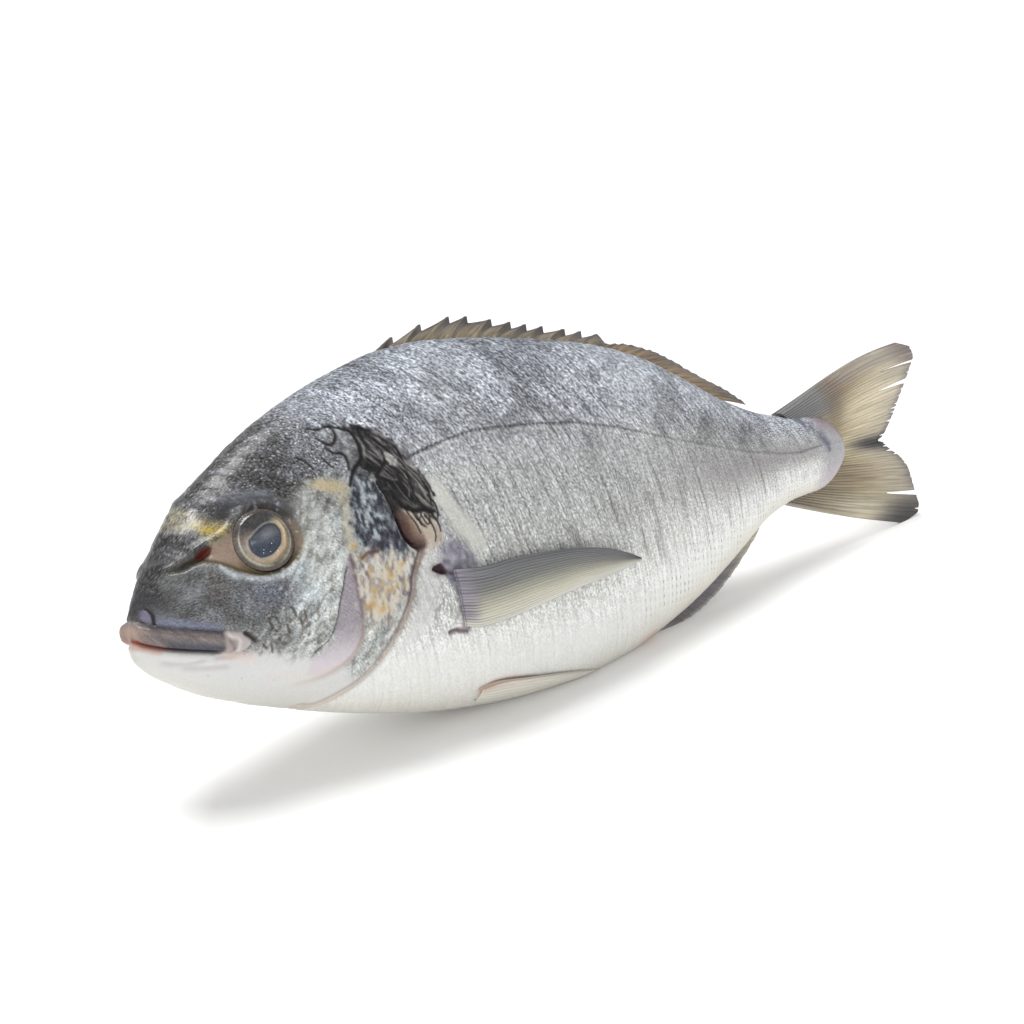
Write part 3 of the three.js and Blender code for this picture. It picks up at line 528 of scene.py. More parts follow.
    # forehead and snout: charcoal with specks
    fore = inside([(-.02, -.0440), (.0080, -.0440), (.0140, -.0480), (.0180, -.0360), (.0300, -.0140), (.0430, -.0030), (.0583, .0060), (.0800, .0150), (.0950, .0300), (.1020, .0390), (.1167, .0440), (.1340, .0430), (.1480, .0380), (.1600, .0480), (.1750, .0570), (.1950, .0600), (.2100, .0640), (.2150, .0800), (.2040, .1000), (.2200, .2200), (.0, .2200)], 1.6, 1.2, 7 + o, 4.0)
    charc = ramp(np.clip(fn + (fm - .5) * .5, 0, 1), [(0, 40, 39, 38), (.45, 60, 59, 59), (.7, 80, 80, 83), (1, 118, 120, 125)])
    # bright on the top of the nape
    charc = mixc(charc, ramp(te, [(.5, 96, 97, 101), (.8, 118, 121, 127), (1, 128, 132, 139)]), nape * .95)
    hc = mixc(hc, charc, fore)
    spk = (70 + 62 * nape) * fore + 62 * (1 - fore) * (1 - wm) + 7 * wm
    hc += ((speck - .5) * spk)[..., None]
    hc += (sstep(.88, .98, gr[1]) * ((72 + 26 * nape) * fore + 34 * (1 - fore) * (1 - wm)))[..., None] * np.array([.98, 1.0, 1.04])
    hc -= (sstep(.90, .99, gr[2]) * (30 * fore + 38 * (1 - fore) * (1 - wm)))[..., None]
    # olive shade behind the eye's top, brow and the dark hollow over the eye
    hc = mixc(hc, (112, 108, 98), .40 * np.exp(-ell(X, Z, .150, .030, .014, .014, 60) ** 2)); hc = mixc(hc, (164, 166, 162), .60 * np.exp(-ell(X, Z, .166, .036, .011, .015, 20) ** 2) * (.5 + .9 * (mot - .2))); hc = mixc(hc, (196, 199, 194), .50 * np.exp(-ell(X, Z, .163, -.006, .013, .030, -10) ** 2) * (.4 + 1.1 * (mot - .2)))
    bd, _, _ = line([(.0720, .0290), (.0850, .0330), (.0960, .0400), (.1060, .0420), (.1220, .0430), (.1360, .0390), (.1450, .0310)], 6.0)
    hc = mixc(hc, (54, 53, 56), .72 * np.exp(-(bd / 1.5) ** 2))
    bd, _, _ = line([(.1083, .0365), (.1208, .0392), (.1325, .0373), (.1410, .0300), (.1460, .0193)], 5.0)
    hc = mixc(hc, (40, 37, 38), .8 * np.exp(-(bd / .8) ** 2))
    # painted highlight: thin pale blue streaks along the brow ridge, each with a soft darker band
    for pts, w, s in (([(.0883, .0473), (.1000, .0472), (.1142, .0474), (.1292, .0479)], .8, .75), ([(.0908, .0432), (.1042, .0440), (.1183, .0442)], .7, .5), ([(.1225, .0440), (.1333, .0412), (.1400, .0345)], .5, .6), ([(.0800, .0440), (.0950, .0500), (.1150, .0505), (.1300, .0500)], .6, .45)):
        d, a, _ = line(pts); hc = mixc(hc, (172, 176, 188), .75 * s * np.exp(-(d / (w * .50)) ** 2) * (.15 + 1.1 * vnoise(X * 1.0, V * 4.0, 19))); hc = mixc(hc, (84, 85, 92), .40 * s * np.exp(-(d / 1.4) ** 2))
    # gold over the nose
    for pts, c, s in (([(.0500, .0230), (.0560, .0262), (.0600, .0330), (.0640, .0400), (.0600, .0440), (.0540, .0380), (.0480, .0290)], (178, 170, 138), .8),
                      ([(.0567, .0330), (.0633, .0362), (.0700, .0335), (.0680, .0270), (.0592, .0241), (.0545, .0277)], (210, 205, 186), .75),
                      ([(.0640, .0308), (.0742, .0318), (.0808, .0275), (.0917, .0256), (.0833, .0165), (.0742, .0117), (.0675, .0157), (.0625, .0233)], (184, 168, 112), .8)):
        m = inside(pts, 1.5, 1.0, 9 + o, 1.2); hc = mixc(hc, c, m * s * (.50 + .85 * (speck - .30).clip(0, 1)) * (.62 + .75 * fn))
    hc = mixc(hc, (226, 222, 204), .50 * sstep(1.2, .2, ell(X, Z, .0645, .0290, .0050, .0034, 20) + (fn - .5) * 1.2))
    hc = mixc(hc, (178, 148, 52), .75 * np.exp(-ell(X, Z, .0705, .0225, .0035, .0028) ** 2) + .5 * np.exp(-ell(X, Z, .0790, .0205, .0050, .0040) ** 2))
    # socket: brown-pink skin in front, brown crescent behind, dark lower rim and a bluish painted highlight under it
    skd = poly(SOCKET)
    exy = np.hypot(X - .1165 * SL, Z - .0095 * SL)
    sk = sstep(.45, -.45, skd)
    front = sstep(.112, .096, X / SL)
    skin = mixc(np.broadcast_to(np.array([116, 103, 90.0]), hc.shape).copy(), (152, 132, 118), front * .9)
    skin = mixc(skin, (92, 80, 58), .65 * sstep(-.002, -.014, Z / SL) + 0 * X)
    skin = mixc(skin, (48, 46, 48), .85 * sstep(.020, .033, Z / SL))
    hc = mixc(hc, skin + (fn[..., None] - .5) * 30, sk)
    d, a, _ = line([(.0430, -.0058), (.0492, -.0030), (.0583, -.0020), (.0708, -.0058), (.0833, -.0128), (.0975, -.0182), (.1092, -.0208), (.1258, -.0188), (.1392, -.0115), (.1480, -.0035)])
    hc = mixc(hc, (66, 56, 36), .80 * np.exp(-(d / .55) ** 2) * sstep(0, .1, a + .05))
    # painted highlight: a bluish-white line under the lower rim
    d, a, _ = line([(.0708, -.0105), (.0792, -.0173), (.0908, -.0216), (.1058, -.0247), (.1217, -.0240), (.1308, -.0216)])
    hc = mixc(hc, (212, 222, 228), .72 * np.exp(-(d / .65) ** 2) * (.35 + .9 * vnoise(X * 1.1, V * 1.6, 20)))
    d, a, _ = line([(.0625, .0050), (.0550, -.0008), (.0450, -.0052), (.0358, -.0103), (.0308, -.0143)])
    hc = mixc(hc, (60, 58, 52), .80 * np.exp(-(d / .85) ** 2) * sstep(1.05, .75, a))
    red = inside([(.0533, -.0006), (.0575, .0051), (.0667, .0090), (.0690, .0078), (.0650, .0029), (.0575, -.0010)], .35)
    hc = mixc(hc, (92, 36, 28), red)
    hc = mixc(hc, (56, 55, 58), .60 * np.exp(-ell(X, Z, .010, -.036, .014, .013) ** 2))
    hc = hc * (1 - .20 * np.exp(-ell(X, Z, .018, -.018, .032, .045, 20) ** 2) * (1 - wm))[..., None]
    # blue-purple stripe over the lip, the small lavender spot and its arc
    d, a, _ = line([(.0150, -.0511), (.0275, -.0543), (.0450, -.0583), (.0617, -.0628)])
    hc = mixc(hc, (120, 126, 158), .62 * np.exp(-(d / 1.2) ** 2) * (.45 + .8 * vnoise(X * 1.2, V * 2.5, 21)))
    hc = mixc(hc, (116, 112, 134), .8 * inside([(.0062, -.0405), (.0108, -.0395), (.0122, -.0436), (.0122, -.0500), (.0075, -.0493), (.0055, -.0456)], .4))
    d, a, _ = line([(.0103, -.0388), (.0125, -.0432), (.0128, -.0475), (.0125, -.0521)])
    hc = mixc(hc, (28, 25, 28), .9 * sstep(.42, .12, d)); disp -= .35 * np.exp(-(d / .35) ** 2)
    # cheek wrinkles and pits
    for k, pts in enumerate(WRINK):
        m = stroke(pts, .55, k); hc = mixc(hc, (62, 52, 44), .78 * m); disp -= .22 * m
    fl2 = sstep(.66, .80, fbm(a1 / 1.3, a2 / .8, 19 + o, 2)) * sstep(.095, .125, X / SL) * (1 - fore) * (1 - wm)
    hc = mixc(hc, (206, 214, 216), .55 * fl2)
    pits = inside([(.0930, -.0700), (.1050, -.0640), (.1250, -.0560), (.1500, -.0480), (.1650, -.0600), (.1720, -.0800), (.1600, -.0950), (.1400, -.0980), (.1150, -.0930), (.1000, -.0880)], 2.5, 1.2, 3 + o, 3)
    pn = sstep(.60, .78, fbm(a1 / 1.5, a2 / .62, 2 + o, 2))
    hc = mixc(hc, (76, 68, 60), .62 * pits * pn * (1 - .2 * wm)); disp -= .13 * pits * pn
    pe = sstep(.62, .80, fbm(a1 / 2.2, a2 / .9, 22, 2)) * sstep(.110, .140, X / SL) * (1 - fore) * (1 - wm)
    hc = mixc(hc, (92, 86, 78), .45 * pe)
    # silver-gold bar behind the eye
    m = inside(GOLDB, 1.2, 1.0, 11 + o, 2.0); hc = mixc(hc, (172, 166, 146), m * (.55 + .5 * (speck - .3).clip(0, 1)))
    hc = mixc(hc, (186, 164, 112), .55 * np.exp(-ell(X, Z, .1880, .0495, .016, .0050, -12) ** 2))
    d, a, _ = line([(.1783, .0447), (.1825, .0381), (.1892, .0315)]); hc = mixc(hc, (86, 78, 76), .6 * np.exp(-(d / .35) ** 2))
    # lilac strip behind the cheek, its dark front line, and the purple-brown line behind it
    m = inside(STRIP, .5, .3, 4 + o); lil = np.broadcast_to(np.array([150, 143, 150.0]), hc.shape) + ((np.sin(Z * 7.0) * np.sin(X * 6.2 + Z)) * 9)[..., None] + (speck[..., None] - .5) * 26
    lil = mixc(lil, (204, 196, 202), sstep(-.07, -.11, Z / SL)); hc = mixc(hc, lil, m * .92)
    d, a, g_ = line(STRIPL); hc = mixc(hc, (60, 54, 60), .72 * sstep(.42, .12, d) * sstep(1.02, .7, a)); disp += .42 * sstep(.5, -.1, d * g_ * -1) * sstep(3.0, .0, d) * sstep(1.0, .9, a) * sstep(0, .1, a) * -1
    d, a, g_ = line(PREOP); hc = mixc(hc, ramp(a, [(0, 92, 78, 82), (.35, 120, 100, 102), (.6, 176, 156, 148), (1, 208, 198, 190)]), .80 * np.exp(-(d / .62) ** 2)); disp -= .34 * np.exp(-(d / .7) ** 2) * sstep(1.02, .8, a)
    # upper gill cover: navy and black with pale blue flecks
    m = inside(OPER, 1.3, 2.0, 12 + o, 1.4)
    vs = np.clip(fbm(X / .75, V / 1.4, 13 + o, 3) * .75 + fbm(X / 3.4, V / 5.0, 26 + o, 2) * .25 + (speck - .5) * .10, 0, 1)
    nav = ramp(vs, [(0, 22, 23, 28), (.36, 42, 44, 52), (.46, 70, 73, 82), (.55, 104, 110, 117), (.66, 156, 163, 166), (1, 196, 200, 200)])
    hc = mixc(hc, nav, m * .95)
    m = inside(OPERL, 1.8, 2.6, 14 + o, 1.5)
    vl = fbm(X / .8, V / 1.5, 16 + o, 3)
    hc = mixc(hc, ramp(vl, [(0, 62, 58, 68), (.38, 118, 112, 118), (.50, 170, 164, 160), (.62, 202, 198, 190), (1, 222, 216, 204)]), m * .95)
    hc = mixc(hc, (198, 178, 136), m * .42 * sstep(.50, .66, fbm(X / 1.5, V / 1.5, 23)))
    hc = mixc(hc, (205, 196, 178), m * .5 * np.exp(-ell(X, Z, .225, -.050, .020, .028) ** 2))
    for (cx, cz, rx, rz) in ORANGE:
        r = ell(X, Z, cx, cz, rx, rz) + (fn - .5) * .9
        hc = mixc(hc, (200, 174, 126), .50 * sstep(1.35, .35, r)); hc = mixc(hc, (180, 138, 80), .40 * sstep(.7, .1, r)); disp += .07 * sstep(1.1, .3, r)
    for (cx, cz, rx, rz) in PALE:
        r = ell(X, Z, cx, cz, rx * .85, rz * .85) + (fn - .5) * 1.8
        hc = mixc(hc, (170, 184, 190), .58 * sstep(1.2, .3, r)); disp += .06 * sstep(1.1, .3, r)
    d, a, _ = line([(.2242, -.0142), (.2133, -.0148), (.2058, -.0187)]); hc = mixc(hc, (84, 58, 54), .8 * np.exp(-(d / .5) ** 2)); disp -= .25 * np.exp(-(d / .5) ** 2)
    d, a, _ = line([(.2483, .0239), (.2420, .0060), (.2330, -.0060), (.2200, -.0100)]); hc = mixc(hc, (30, 30, 36), .6 * np.exp(-(d / .9) ** 2) * (.4 + .8 * vs))
    col = mixc(col, hc, H * (1 - .0 * nape))

    # ---- gill slit, black wrinkled blotch, membrane
    bl = inside(BLOTCH, .7, 2.2, 10 + o, 1.2)
    flow = fbm((X * .78 + Z * .62) / .75, (X * .62 - Z * .78) / 4.6, 12 + o, 3)
    bcol = ramp(flow, [(0, 9, 8, 9), (.42, 19, 18, 19), (.54, 38, 36, 38), (.66, 74, 72, 73), (.8, 116, 113, 111), (1, 150, 148, 144)])
    bcol = mixc(bcol, (112, 106, 99), .45 * sstep(.268, .290, X / SL)) + (speck[..., None] - .5) * 26
    col = mixc(col, bcol, bl * .93)
    disp += bl * (flow - .5) * .15
    # painted highlights: pale grey wisps on the blotch's folds, with near-black wisps between them
    fl3 = fbm((X * .78 + Z * .62 + .6 * np.sin(V * .55)) / .42, (X * .62 - Z * .78) / 3.0, 24 + o, 2)
    col = mixc(col, (166, 162, 158), bl * .46 * sstep(.60, .74, fl3) * (.4 + .9 * fm)); col = mixc(col, (14, 13, 14), bl * .7 * sstep(.42, .30, fl3))
    halo = sstep(4.5, .5, poly(BLOTCH)) * (1 - bl) * sstep(.03, .07, Z / SL)
    col = mixc(col, (66, 64, 68), halo * .62 * sstep(.42, .62, fbm(X / 1.6, V / 3.0, 21)))
    fz_ = np.exp(-ell(X, Z, .214, .086, .024, .022) ** 2); col = mixc(col, (76, 74, 80), .62 * fz_ * sstep(.40, .60, fbm(X / 1.2, V / 1.9, 22)))
    # black folds of the blotch, each with a faint painted highlight along one side
    for k, (pts, w) in enumerate(BLACK):
        m = stroke(pts, w * .72, k + 3, .45); col = mixc(col, (18, 16, 17), .90 * m); disp -= .20 * m
        d, a, g_ = line(pts); col = mixc(col, (150, 150, 152), .16 * np.exp(-((d - w * .5 - .35) / .30) ** 2) * (g_ > 0) * sstep(.0, .2, a) * sstep(1, .8, a))
    for k, (pts, w) in enumerate(GLINT):
        m = stroke(pts, w * .9, k + 5, .8); col = mixc(col, (158, 154, 148), .60 * m); disp += .06 * m
    m = inside([(.2550, .0728), (.2617, .0714), (.2667, .0654), (.2633, .0603), (.2575, .0610), (.2550, .0667)], .4, .4, 3)
    col = mixc(col, (178, 178, 172) + 0 * np.zeros(3), m * (.5 + .8 * (speck - .3).clip(0, 1)))
    m = inside(MEMBO, .9, .8, 6); col = mixc(col, ramp(fn, [(0, 120, 110, 102), (.5, 176, 162, 146), (1, 200, 190, 176)]), m * .9)
    mm = inside(MEMB, .5); md, ma, _ = line([(.2508, .0240), (.2525, .0060), (.2600, -.0100), (.2725, -.0195)], 8.0)
    mc = ramp(md + (fm - .5) * 1.2, [(0, 36, 20, 19), (.7, 54, 33, 29), (1.7, 86, 62, 53), (3.0, 134, 114, 99), (4.5, 166, 152, 137)]) + (speck[..., None] - .5) * 18
    col = mixc(col, mc, mm); disp -= mm * 1.3 * sstep(2.8, .2, md)
    col = mixc(col, (22, 18, 19), .80 * np.exp(-ell(X, Z, .2510, .0285, .0095, .0120, -35) ** 4))
    for k, (pts, w) in enumerate(BLACK[11:14] + BLACK[16:21]):
        col = mixc(col, (18, 15, 15), .9 * stroke(pts, w * .7, k + 14, .4))
    # gill slit: painted shade of the opening over a shallow groove
    d, a, g_ = line([(.2400, .0470), (.2470, .0310), (.2508, .0130), (.2540, -.0010), (.2612, -.0122), (.2725, -.0200)])
    slit = np.exp(-(d / .55) ** 2) * sstep(1.0, .85, a); col = mixc(col, (22, 14, 14), .85 * slit); disp -= 1.0 * slit
    # gill cover edge: rounded step with a thin dark line and a warm rim
    d, a, g_ = line(EDGE, 8.0); sd = d * g_  # positive behind the edge
    step = sstep(.5, -.6, sd) * sstep(5.0, .0, np.abs(sd)) * sstep(0, .06, a) * sstep(1.0, .9, a)
    disp += .75 * step - .35 * np.exp(-((sd - .7) / .55) ** 2) * sstep(1.0, .9, a)
    col = mixc(col, ramp(a, [(0, 140, 108, 92), (.2, 146, 118, 106), (.5, 178, 160, 146), (.8, 204, 190, 176), (1, 214, 204, 192)]), .85 * np.exp(-((sd + .1) / .62) ** 2))
    col = mixc(col, ramp(a, [(0, 44, 34, 34), (.25, 62, 50, 50), (.45, 128, 110, 104), (1, 178, 164, 152)]), .75 * np.exp(-((sd + 1.25) / .32) ** 2))
    col = mixc(col, ramp(a, [(0, 120, 104, 96), (.4, 150, 136, 124), (1, 172, 160, 146)]), .5 * np.exp(-((sd - .75) / .35) ** 2))
    # lower line of the gill cover and the throat folds
    d, a, g_ = line([(.2192, -.1226), (.2083, -.1348), (.1942, -.1468), (.1758, -.151), (.1633, -.1522)]); col = mixc(col, (168, 158, 146), .55 * np.exp(-(d / .5) ** 2)); disp -= .3 * np.exp(-(d / .5) ** 2)
    d, a, g_ = line([(.1150, -.1137), (.1408, -.1159), (.1633, -.1173), (.1850, -.1124)]); col = mixc(col, (214, 198, 188), .28 * np.exp(-(d / .8) ** 2))

    # ---- pectoral base
    m = inside(PECP, 1.2, 1.4, 15 + o, 2.2); col = mixc(col, ramp(fbm(X / 1.2, V / 1.2, 8, 3), [(0, 84, 78, 92), (.5, 124, 120, 134), (1, 180, 180, 188)]), m * .85)
    m = inside(PECB, .6, .3, 2); pc = ramp(fbm(X / .8, V / .8, 9, 3), [(0, 78, 74, 88), (.5, 116, 114, 128), (1, 190, 190, 200)])
    col = mixc(col, pc, m * .92); disp += sstep(.8, -2.2, poly(PECB)) * 1.0
    d, a, _ = line([(.2800, -.0372), (.2930, -.0400), (.3050, -.0452), (.3120, -.0480)]); m = np.exp(-(d / (.30 + .9 * (1 - a))) ** 2) * sstep(0, .25, a + .05) * sstep(1.0, .8, a)
    tri = inside([(.2840, -.0395), (.2955, -.0350), (.3010, -.0440), (.2950, -.0450)], .35); col = mixc(col, (38, 16, 20), np.clip(tri + .5 * m, 0, 1) * .95); disp -= .9 * tri
    d, a, _ = line([(.3060, -.1010), (.3140, -.1000), (.3210, -.1018), (.3290, -.1030)]); col = mixc(col, (72, 62, 60), .85 * np.exp(-(d / .55) ** 2)); disp -= .6 * np.exp(-(d / .5) ** 2)
    d, a, _ = line([(.3230, -.0720), (.3250, -.0860), (.3210, -.1000)]); col = mixc(col, (158, 132, 140), .55 * np.exp(-(d / .7) ** 2))
    # ---- pelvic base
    d, a, _ = line([(.3675, -.1655), (.3780, -.1625), (.3908, -.1612), (.4200, -.1632), (.4500, -.1662)]); col = mixc(col, (204, 172, 158), .7 * np.exp(-(d / .9) ** 2) * sstep(1.02, .5, a)); disp -= .30 * np.exp(-(d / .6) ** 2) * sstep(1.0, .7, a)

    # ---- mouth
    ld_ = poly(LIP, True, 8.0); lm = sstep(.30, -.30, ld_)
    top = line(LIP_UP)[0]; bot = line(LIP_LOW)[0]
    q = np.clip(top / (top + bot + 1e-6), 0, 1)
    lc = ramp(q, [(0, 62, 57, 60), (.14, 92, 84, 84), (.34, 112, 104, 102), (.55, 92, 90, 94), (.80, 58, 60, 72), (1, 38, 38, 46)])
    # the lip's front: an orange-brown tip and a cream painted highlight on its rounded top
    lc = mixc(lc, (166, 140, 124), .8 * sstep(.013, .0, X / SL) * sstep(.10, .4, q)); lc = mixc(lc, (196, 184, 180), .55 * sstep(.012, .0, X / SL) * sstep(.35, .0, q))
    lc = mixc(lc, (172, 148, 136), .5 * np.exp(-ell(X, Z, .014, -.0680, .010, .0040, -25) ** 2))
    lc = mixc(lc, (150, 140, 134), .4 * np.exp(-ell(X, Z, .050, -.070, .020, .0040, -12) ** 2))
    lc += (speck[..., None] - .5) * 22 + ((fbm(X / 2.4, V / .5, 5, 3) - .5) * 34)[..., None]
    col = mixc(col, lc, lm)
    rb = np.clip(-ld_ / 2.1, 0, 1); disp += lm * 1.35 * np.sqrt(np.clip(1 - (1 - rb) ** 2, 0, 1))
    disp -= .45 * np.exp(-(top / .45) ** 2) * sstep(.0, .004, X / SL + .003)
    d, a, _ = line(LIP_LOW, 6.0); gro = np.exp(-((d + .15) / .55) ** 2) * sstep(1.0, .92, a)
    disp -= 1.25 * gro; col = mixc(col, ramp(a, [(0, 128, 50, 32), (.18, 140, 52, 34), (.34, 96, 52, 44), (.5, 58, 50, 56), (1, 48, 46, 52)]), .85 * np.exp(-(d / .42) ** 2) * sstep(1.02, .9, a))
    m = inside([(-.004, -.0680), (.0008, -.0690), (.0083, -.0722), (.0180, -.0762), (.0150, -.0790), (.0060, -.0755), (-.004, -.0720)], .6)
    col = mixc(col, (192, 150, 132), .65 * m)
    k1 = poly(KNOB); km = sstep(.4, -.4, k1)
    # knob colour: grey with a lighter rear; the darker line and the near-white line on it are painted shade and a
    # painted highlight of its rounded form
    kc = mixc(np.broadcast_to(np.array([156, 146, 142.0]) + ((fm[..., None] - .5) * 60), col.shape).copy(), (192, 184, 180), .8 * sstep(.073, .088, X / SL)); kc = mixc(kc, (120, 108, 106), .6 * np.exp(-(line([(.0680, -.0700), (.0720, -.0760), (.0760, -.0820)])[0] / .4) ** 2))
    kc = mixc(kc, (226, 222, 220), .6 * np.exp(-(line([(.0700, -.0690), (.0800, -.0745), (.0790, -.0830)])[0] / .5) ** 2))
    col = mixc(col, kc, km); disp += .9 * np.sqrt(np.clip(1 - (1 - np.clip(-k1 / 1.6, 0, 1)) ** 2, 0, 1)) * (1 - .6 * lm)
    d, a, _ = line([(.0867, -.0705), (.0930, -.0745), (.0965, -.0775), (.1025, -.0822)]); m = np.exp(-(d / .55) ** 2) * sstep(1.0, .6, a); col = mixc(col, (42, 34, 34), .85 * m); disp -= .6 * m
    for pts in ([(.0133, -.0850), (.0275, -.0892), (.0417, -.0909), (.0575, -.0874)], [(.0575, -.0880), (.0692, -.0882), (.0817, -.0886)], [(.0300, -.0930), (.0500, -.0960), (.0800, -.0980)]):
        d, a, _ = line(pts); w_ = sstep(0, .2, a) * sstep(1, .8, a); col = mixc(col, (182, 176, 170), .42 * np.exp(-(d / .6) ** 2) * w_); disp -= .28 * np.exp(-(d / .6) ** 2) * w_
    d, a, _ = line([(.0692, -.0875), (.0842, -.0900), (.0942, -.0928)]); col = mixc(col, (222, 196, 184), .45 * np.exp(-(d / 1.2) ** 2))
    for (cx, cz) in ((.0580, -.1040), (.0900, -.1110), (.1230, -.1180)):
        col = mixc(col, (168, 150, 140), .6 * sstep(1, .2, ell(X, Z, cx, cz, .0014, .0010)))

    # ---- relief of the head
    er = np.hypot((X - EYE_C[0] * SL) / .99, (Z - EYE_C[2] * SL) / .97) / SL
    disp -= 3.2 * sstep(EYE_R * .975, EYE_R * .86, er)  # the pit the eyeball sits in
    skb = sstep(.9, -1.6, skd) * sstep(EYE_R * .9, EYE_R * 1.05, er)
    disp -= .75 * skb
    disp += .55 * np.exp(-((skd - .9) / .8) ** 2) * sstep(.05, .02, Z / SL)  # raised orbit rim
    bd, _, _ = line([(.0800, .0440), (.0950, .0478), (.1150, .0490), (.1320, .0480), (.1480, .0400)], 7.0); disp += .60 * np.exp(-(bd / 2.0) ** 2)
    bd, _, _ = line([(.0930, .0395), (.1060, .0425), (.1220, .0430), (.1360, .0390)], 5.0); disp -= .40 * np.exp(-(bd / .7) ** 2)
    d, a, _ = line([(.0650, .0050), (.0550, -.0008), (.0450, -.0052), (.0358, -.0103)]); disp -= .8 * np.exp(-(d / .9) ** 2) * sstep(1.0, .7, a)
    disp -= .5 * red
    disp += (H * (1 - wm)) * (fbm(X / 2.2, V / 2.2, 10 + o) - .5) * .30 + H * (fbm(X / 9, V / 9, 11) - .5) * .5
    disp += H * (speck - .5) * .05 * (1 - wm)
    ridge = [(.1960, .0600), (.2250, .0560)]
    # roughness: glossier on the head, a little rougher on the blotch, duller on the belly
    rough = np.interp(T, [0, .3, .6, 1], [.46, .42, .38, .34]) - .08 * H * (1 - wm) + .10 * bl + .10 * (gr[3] - .5)
    rough = np.where(lm > .5, .30, rough)
    grain = np.clip(.35 + .65 * sstep(.25, .6, T), 0, 1) * (1 - .7 * wm * H)
    # nothing at the very ends, so that they close
    disp *= sstep(0, .004, X / SL) * .85 + .15; disp *= sstep(1.034, 1.026, X / SL)
    return np.clip(col, 4, 250), np.clip(rough, .12, .8), grain, disp


_r = np.random.default_rng(29)
_rng_side = {s: [_r.random(X.shape) for _ in range(4)] for s in (-1, 1)}
pl, pr = paint(-1), paint(1)


def ring(left, right, avg=True):
    """Joins the halves into a closed ring: right from belly to back, then left from back to belly."""
    out = np.concatenate([right, left[:, -2:0:-1]], 1).copy()
    out[:, 0] = (left[:, 0] + right[:, 0]) / 2; out[:, M - 1] = (left[:, -1] + right[:, -1]) / 2
    return out


Kn = 2 * M - 2
base = np.stack([np.repeat(xs[:, None], Kn, 1), np.concatenate([Yh, -Yh[:, -2:0:-1]], 1), np.concatenate([Zh, Zh[:, -2:0:-1]], 1)], -1)
base[:, 0, 1] = 0; base[:, M - 1, 1] = 0
Pb = to_row(base)
dk = np.roll(Pb, -1, 1) - np.roll(Pb, 1, 1); dx = np.gradient(Pb, axis=0)
nrm = np.cross(dk, dx); nrm /= np.linalg.norm(nrm, axis=-1, keepdims=True) + 1e-15
mid_ = Pb.mean(1, keepdims=True)
if np.mean(np.sum(nrm * (Pb - mid_), -1)) < 0:
    nrm = -nrm
flip = False
D = ring(pl[3], pr[3])
Pd = Pb + nrm * (D / 1000.0)[..., None]
zz = Pd[..., 2]
Pd[..., 2] = np.where(zz < .004, 0.5 * (zz + np.sqrt(zz ** 2 + (0.0006) ** 2)), zz)
nx = len(xs)
tip0 = to_row(np.array([[-.0008, 0, -.0655]]))[0]; tip1 = to_row(np.array([[1.0348, 0, .0005]]))[0]
verts = np.vstack([Pd.reshape(-1, 3), tip0, tip1])
i, k = np.meshgrid(np.arange(nx - 1), np.arange(Kn), indexing="ij"); k2 = (k + 1) % Kn
faces = np.stack([i * Kn + k, i * Kn + k2, (i + 1) * Kn + k2, (i + 1) * Kn + k], -1).reshape(-1, 4)
ux = (X[:, 0] - X[0, 0]) / (X[-1, 0] - X[0, 0]) * .985 + .0075


def vv(kk):
    kk = np.asarray(kk)
    return np.where(kk <= M - 1, kk / (M - 1) * .485 + .005, .51 + (kk - (M - 1)) / (M - 1) * .485)


vk = np.where(k < M - 1, k / (M - 1) * .485 + .005, .51 + (k - (M - 1)) / (M - 1) * .485)
vk2 = np.where(k < M - 1, (k + 1) / (M - 1) * .485 + .005, .51 + (k + 1 - (M - 1)) / (M - 1) * .485)
uvs = np.stack([np.stack([ux[i], vk], -1), np.stack([ux[i], vk2], -1), np.stack([ux[i + 1], vk2], -1), np.stack([ux[i + 1], vk], -1)], -2).reshape(-1, 4, 2)
kk = np.arange(Kn); a0, a1 = nx * Kn, nx * Kn + 1
cap0 = np.stack([(kk + 1) % Kn, kk, np.full(Kn, a0), np.full(Kn, -1)], -1)
cap1 = np.stack([(nx - 1) * Kn + kk, (nx - 1) * Kn + (kk + 1) % Kn, np.full(Kn, a1), np.full(Kn, -1)], -1)
va, vb = vk[0], vk2[0]
uc0 = np.stack([np.stack([np.full(Kn, ux[0]), vb], -1), np.stack([np.full(Kn, ux[0]), va], -1), np.stack([np.full(Kn, .002), va], -1), np.stack([np.full(Kn, .002), va], -1)], 1)
uc1 = np.stack([np.stack([np.full(Kn, ux[-1]), va], -1), np.stack([np.full(Kn, ux[-1]), vb], -1), np.stack([np.full(Kn, .998), va], -1), np.stack([np.full(Kn, .998), va], -1)], 1)
faces = np.vstack([faces, cap0, cap1]); uvs = np.concatenate([uvs, uc0, uc1])
fn_ = np.cross(verts[faces[:, 1]] - verts[faces[:, 0]], verts[faces[:, 2]] - verts[faces[:, 0]])
cm = verts[faces[:, :3]].mean(1); ax = np.interp(cm[:, 0], Pb.mean(1)[:, 0], np.arange(nx)); ctr = Pb.mean(1)[np.clip(ax.astype(int), 0, nx - 1)]
if np.sum(fn_ * (cm - ctr)) < 0:
    q4 = faces[:, 3] >= 0
    faces[q4] = faces[q4][:, ::-1]; uvs[q4] = uvs[q4][:, ::-1]
    faces[~q4, :3] = faces[~q4, :3][:, ::-1]; uvs[~q4, :3] = uvs[~q4, :3][:, ::-1]
tail2 = lambda A, ends: np.concatenate([A.reshape((nx * Kn,) + A.shape[2:]), ends])
cols = ring(pl[0], pr[0]); C_ = tail2(cols, np.stack([cols[0].mean(0), cols[-1].mean(0)]))
rg = ring(pl[1], pr[1]); gn = ring(pl[2], pr[2])
body = make_object("fish_body", verts, faces, C_, {"rough": tail2(rg, np.array([.3, .4])), "grain": tail2(gn, np.array([.3, .3]))}, uvs, "body", SKIN)

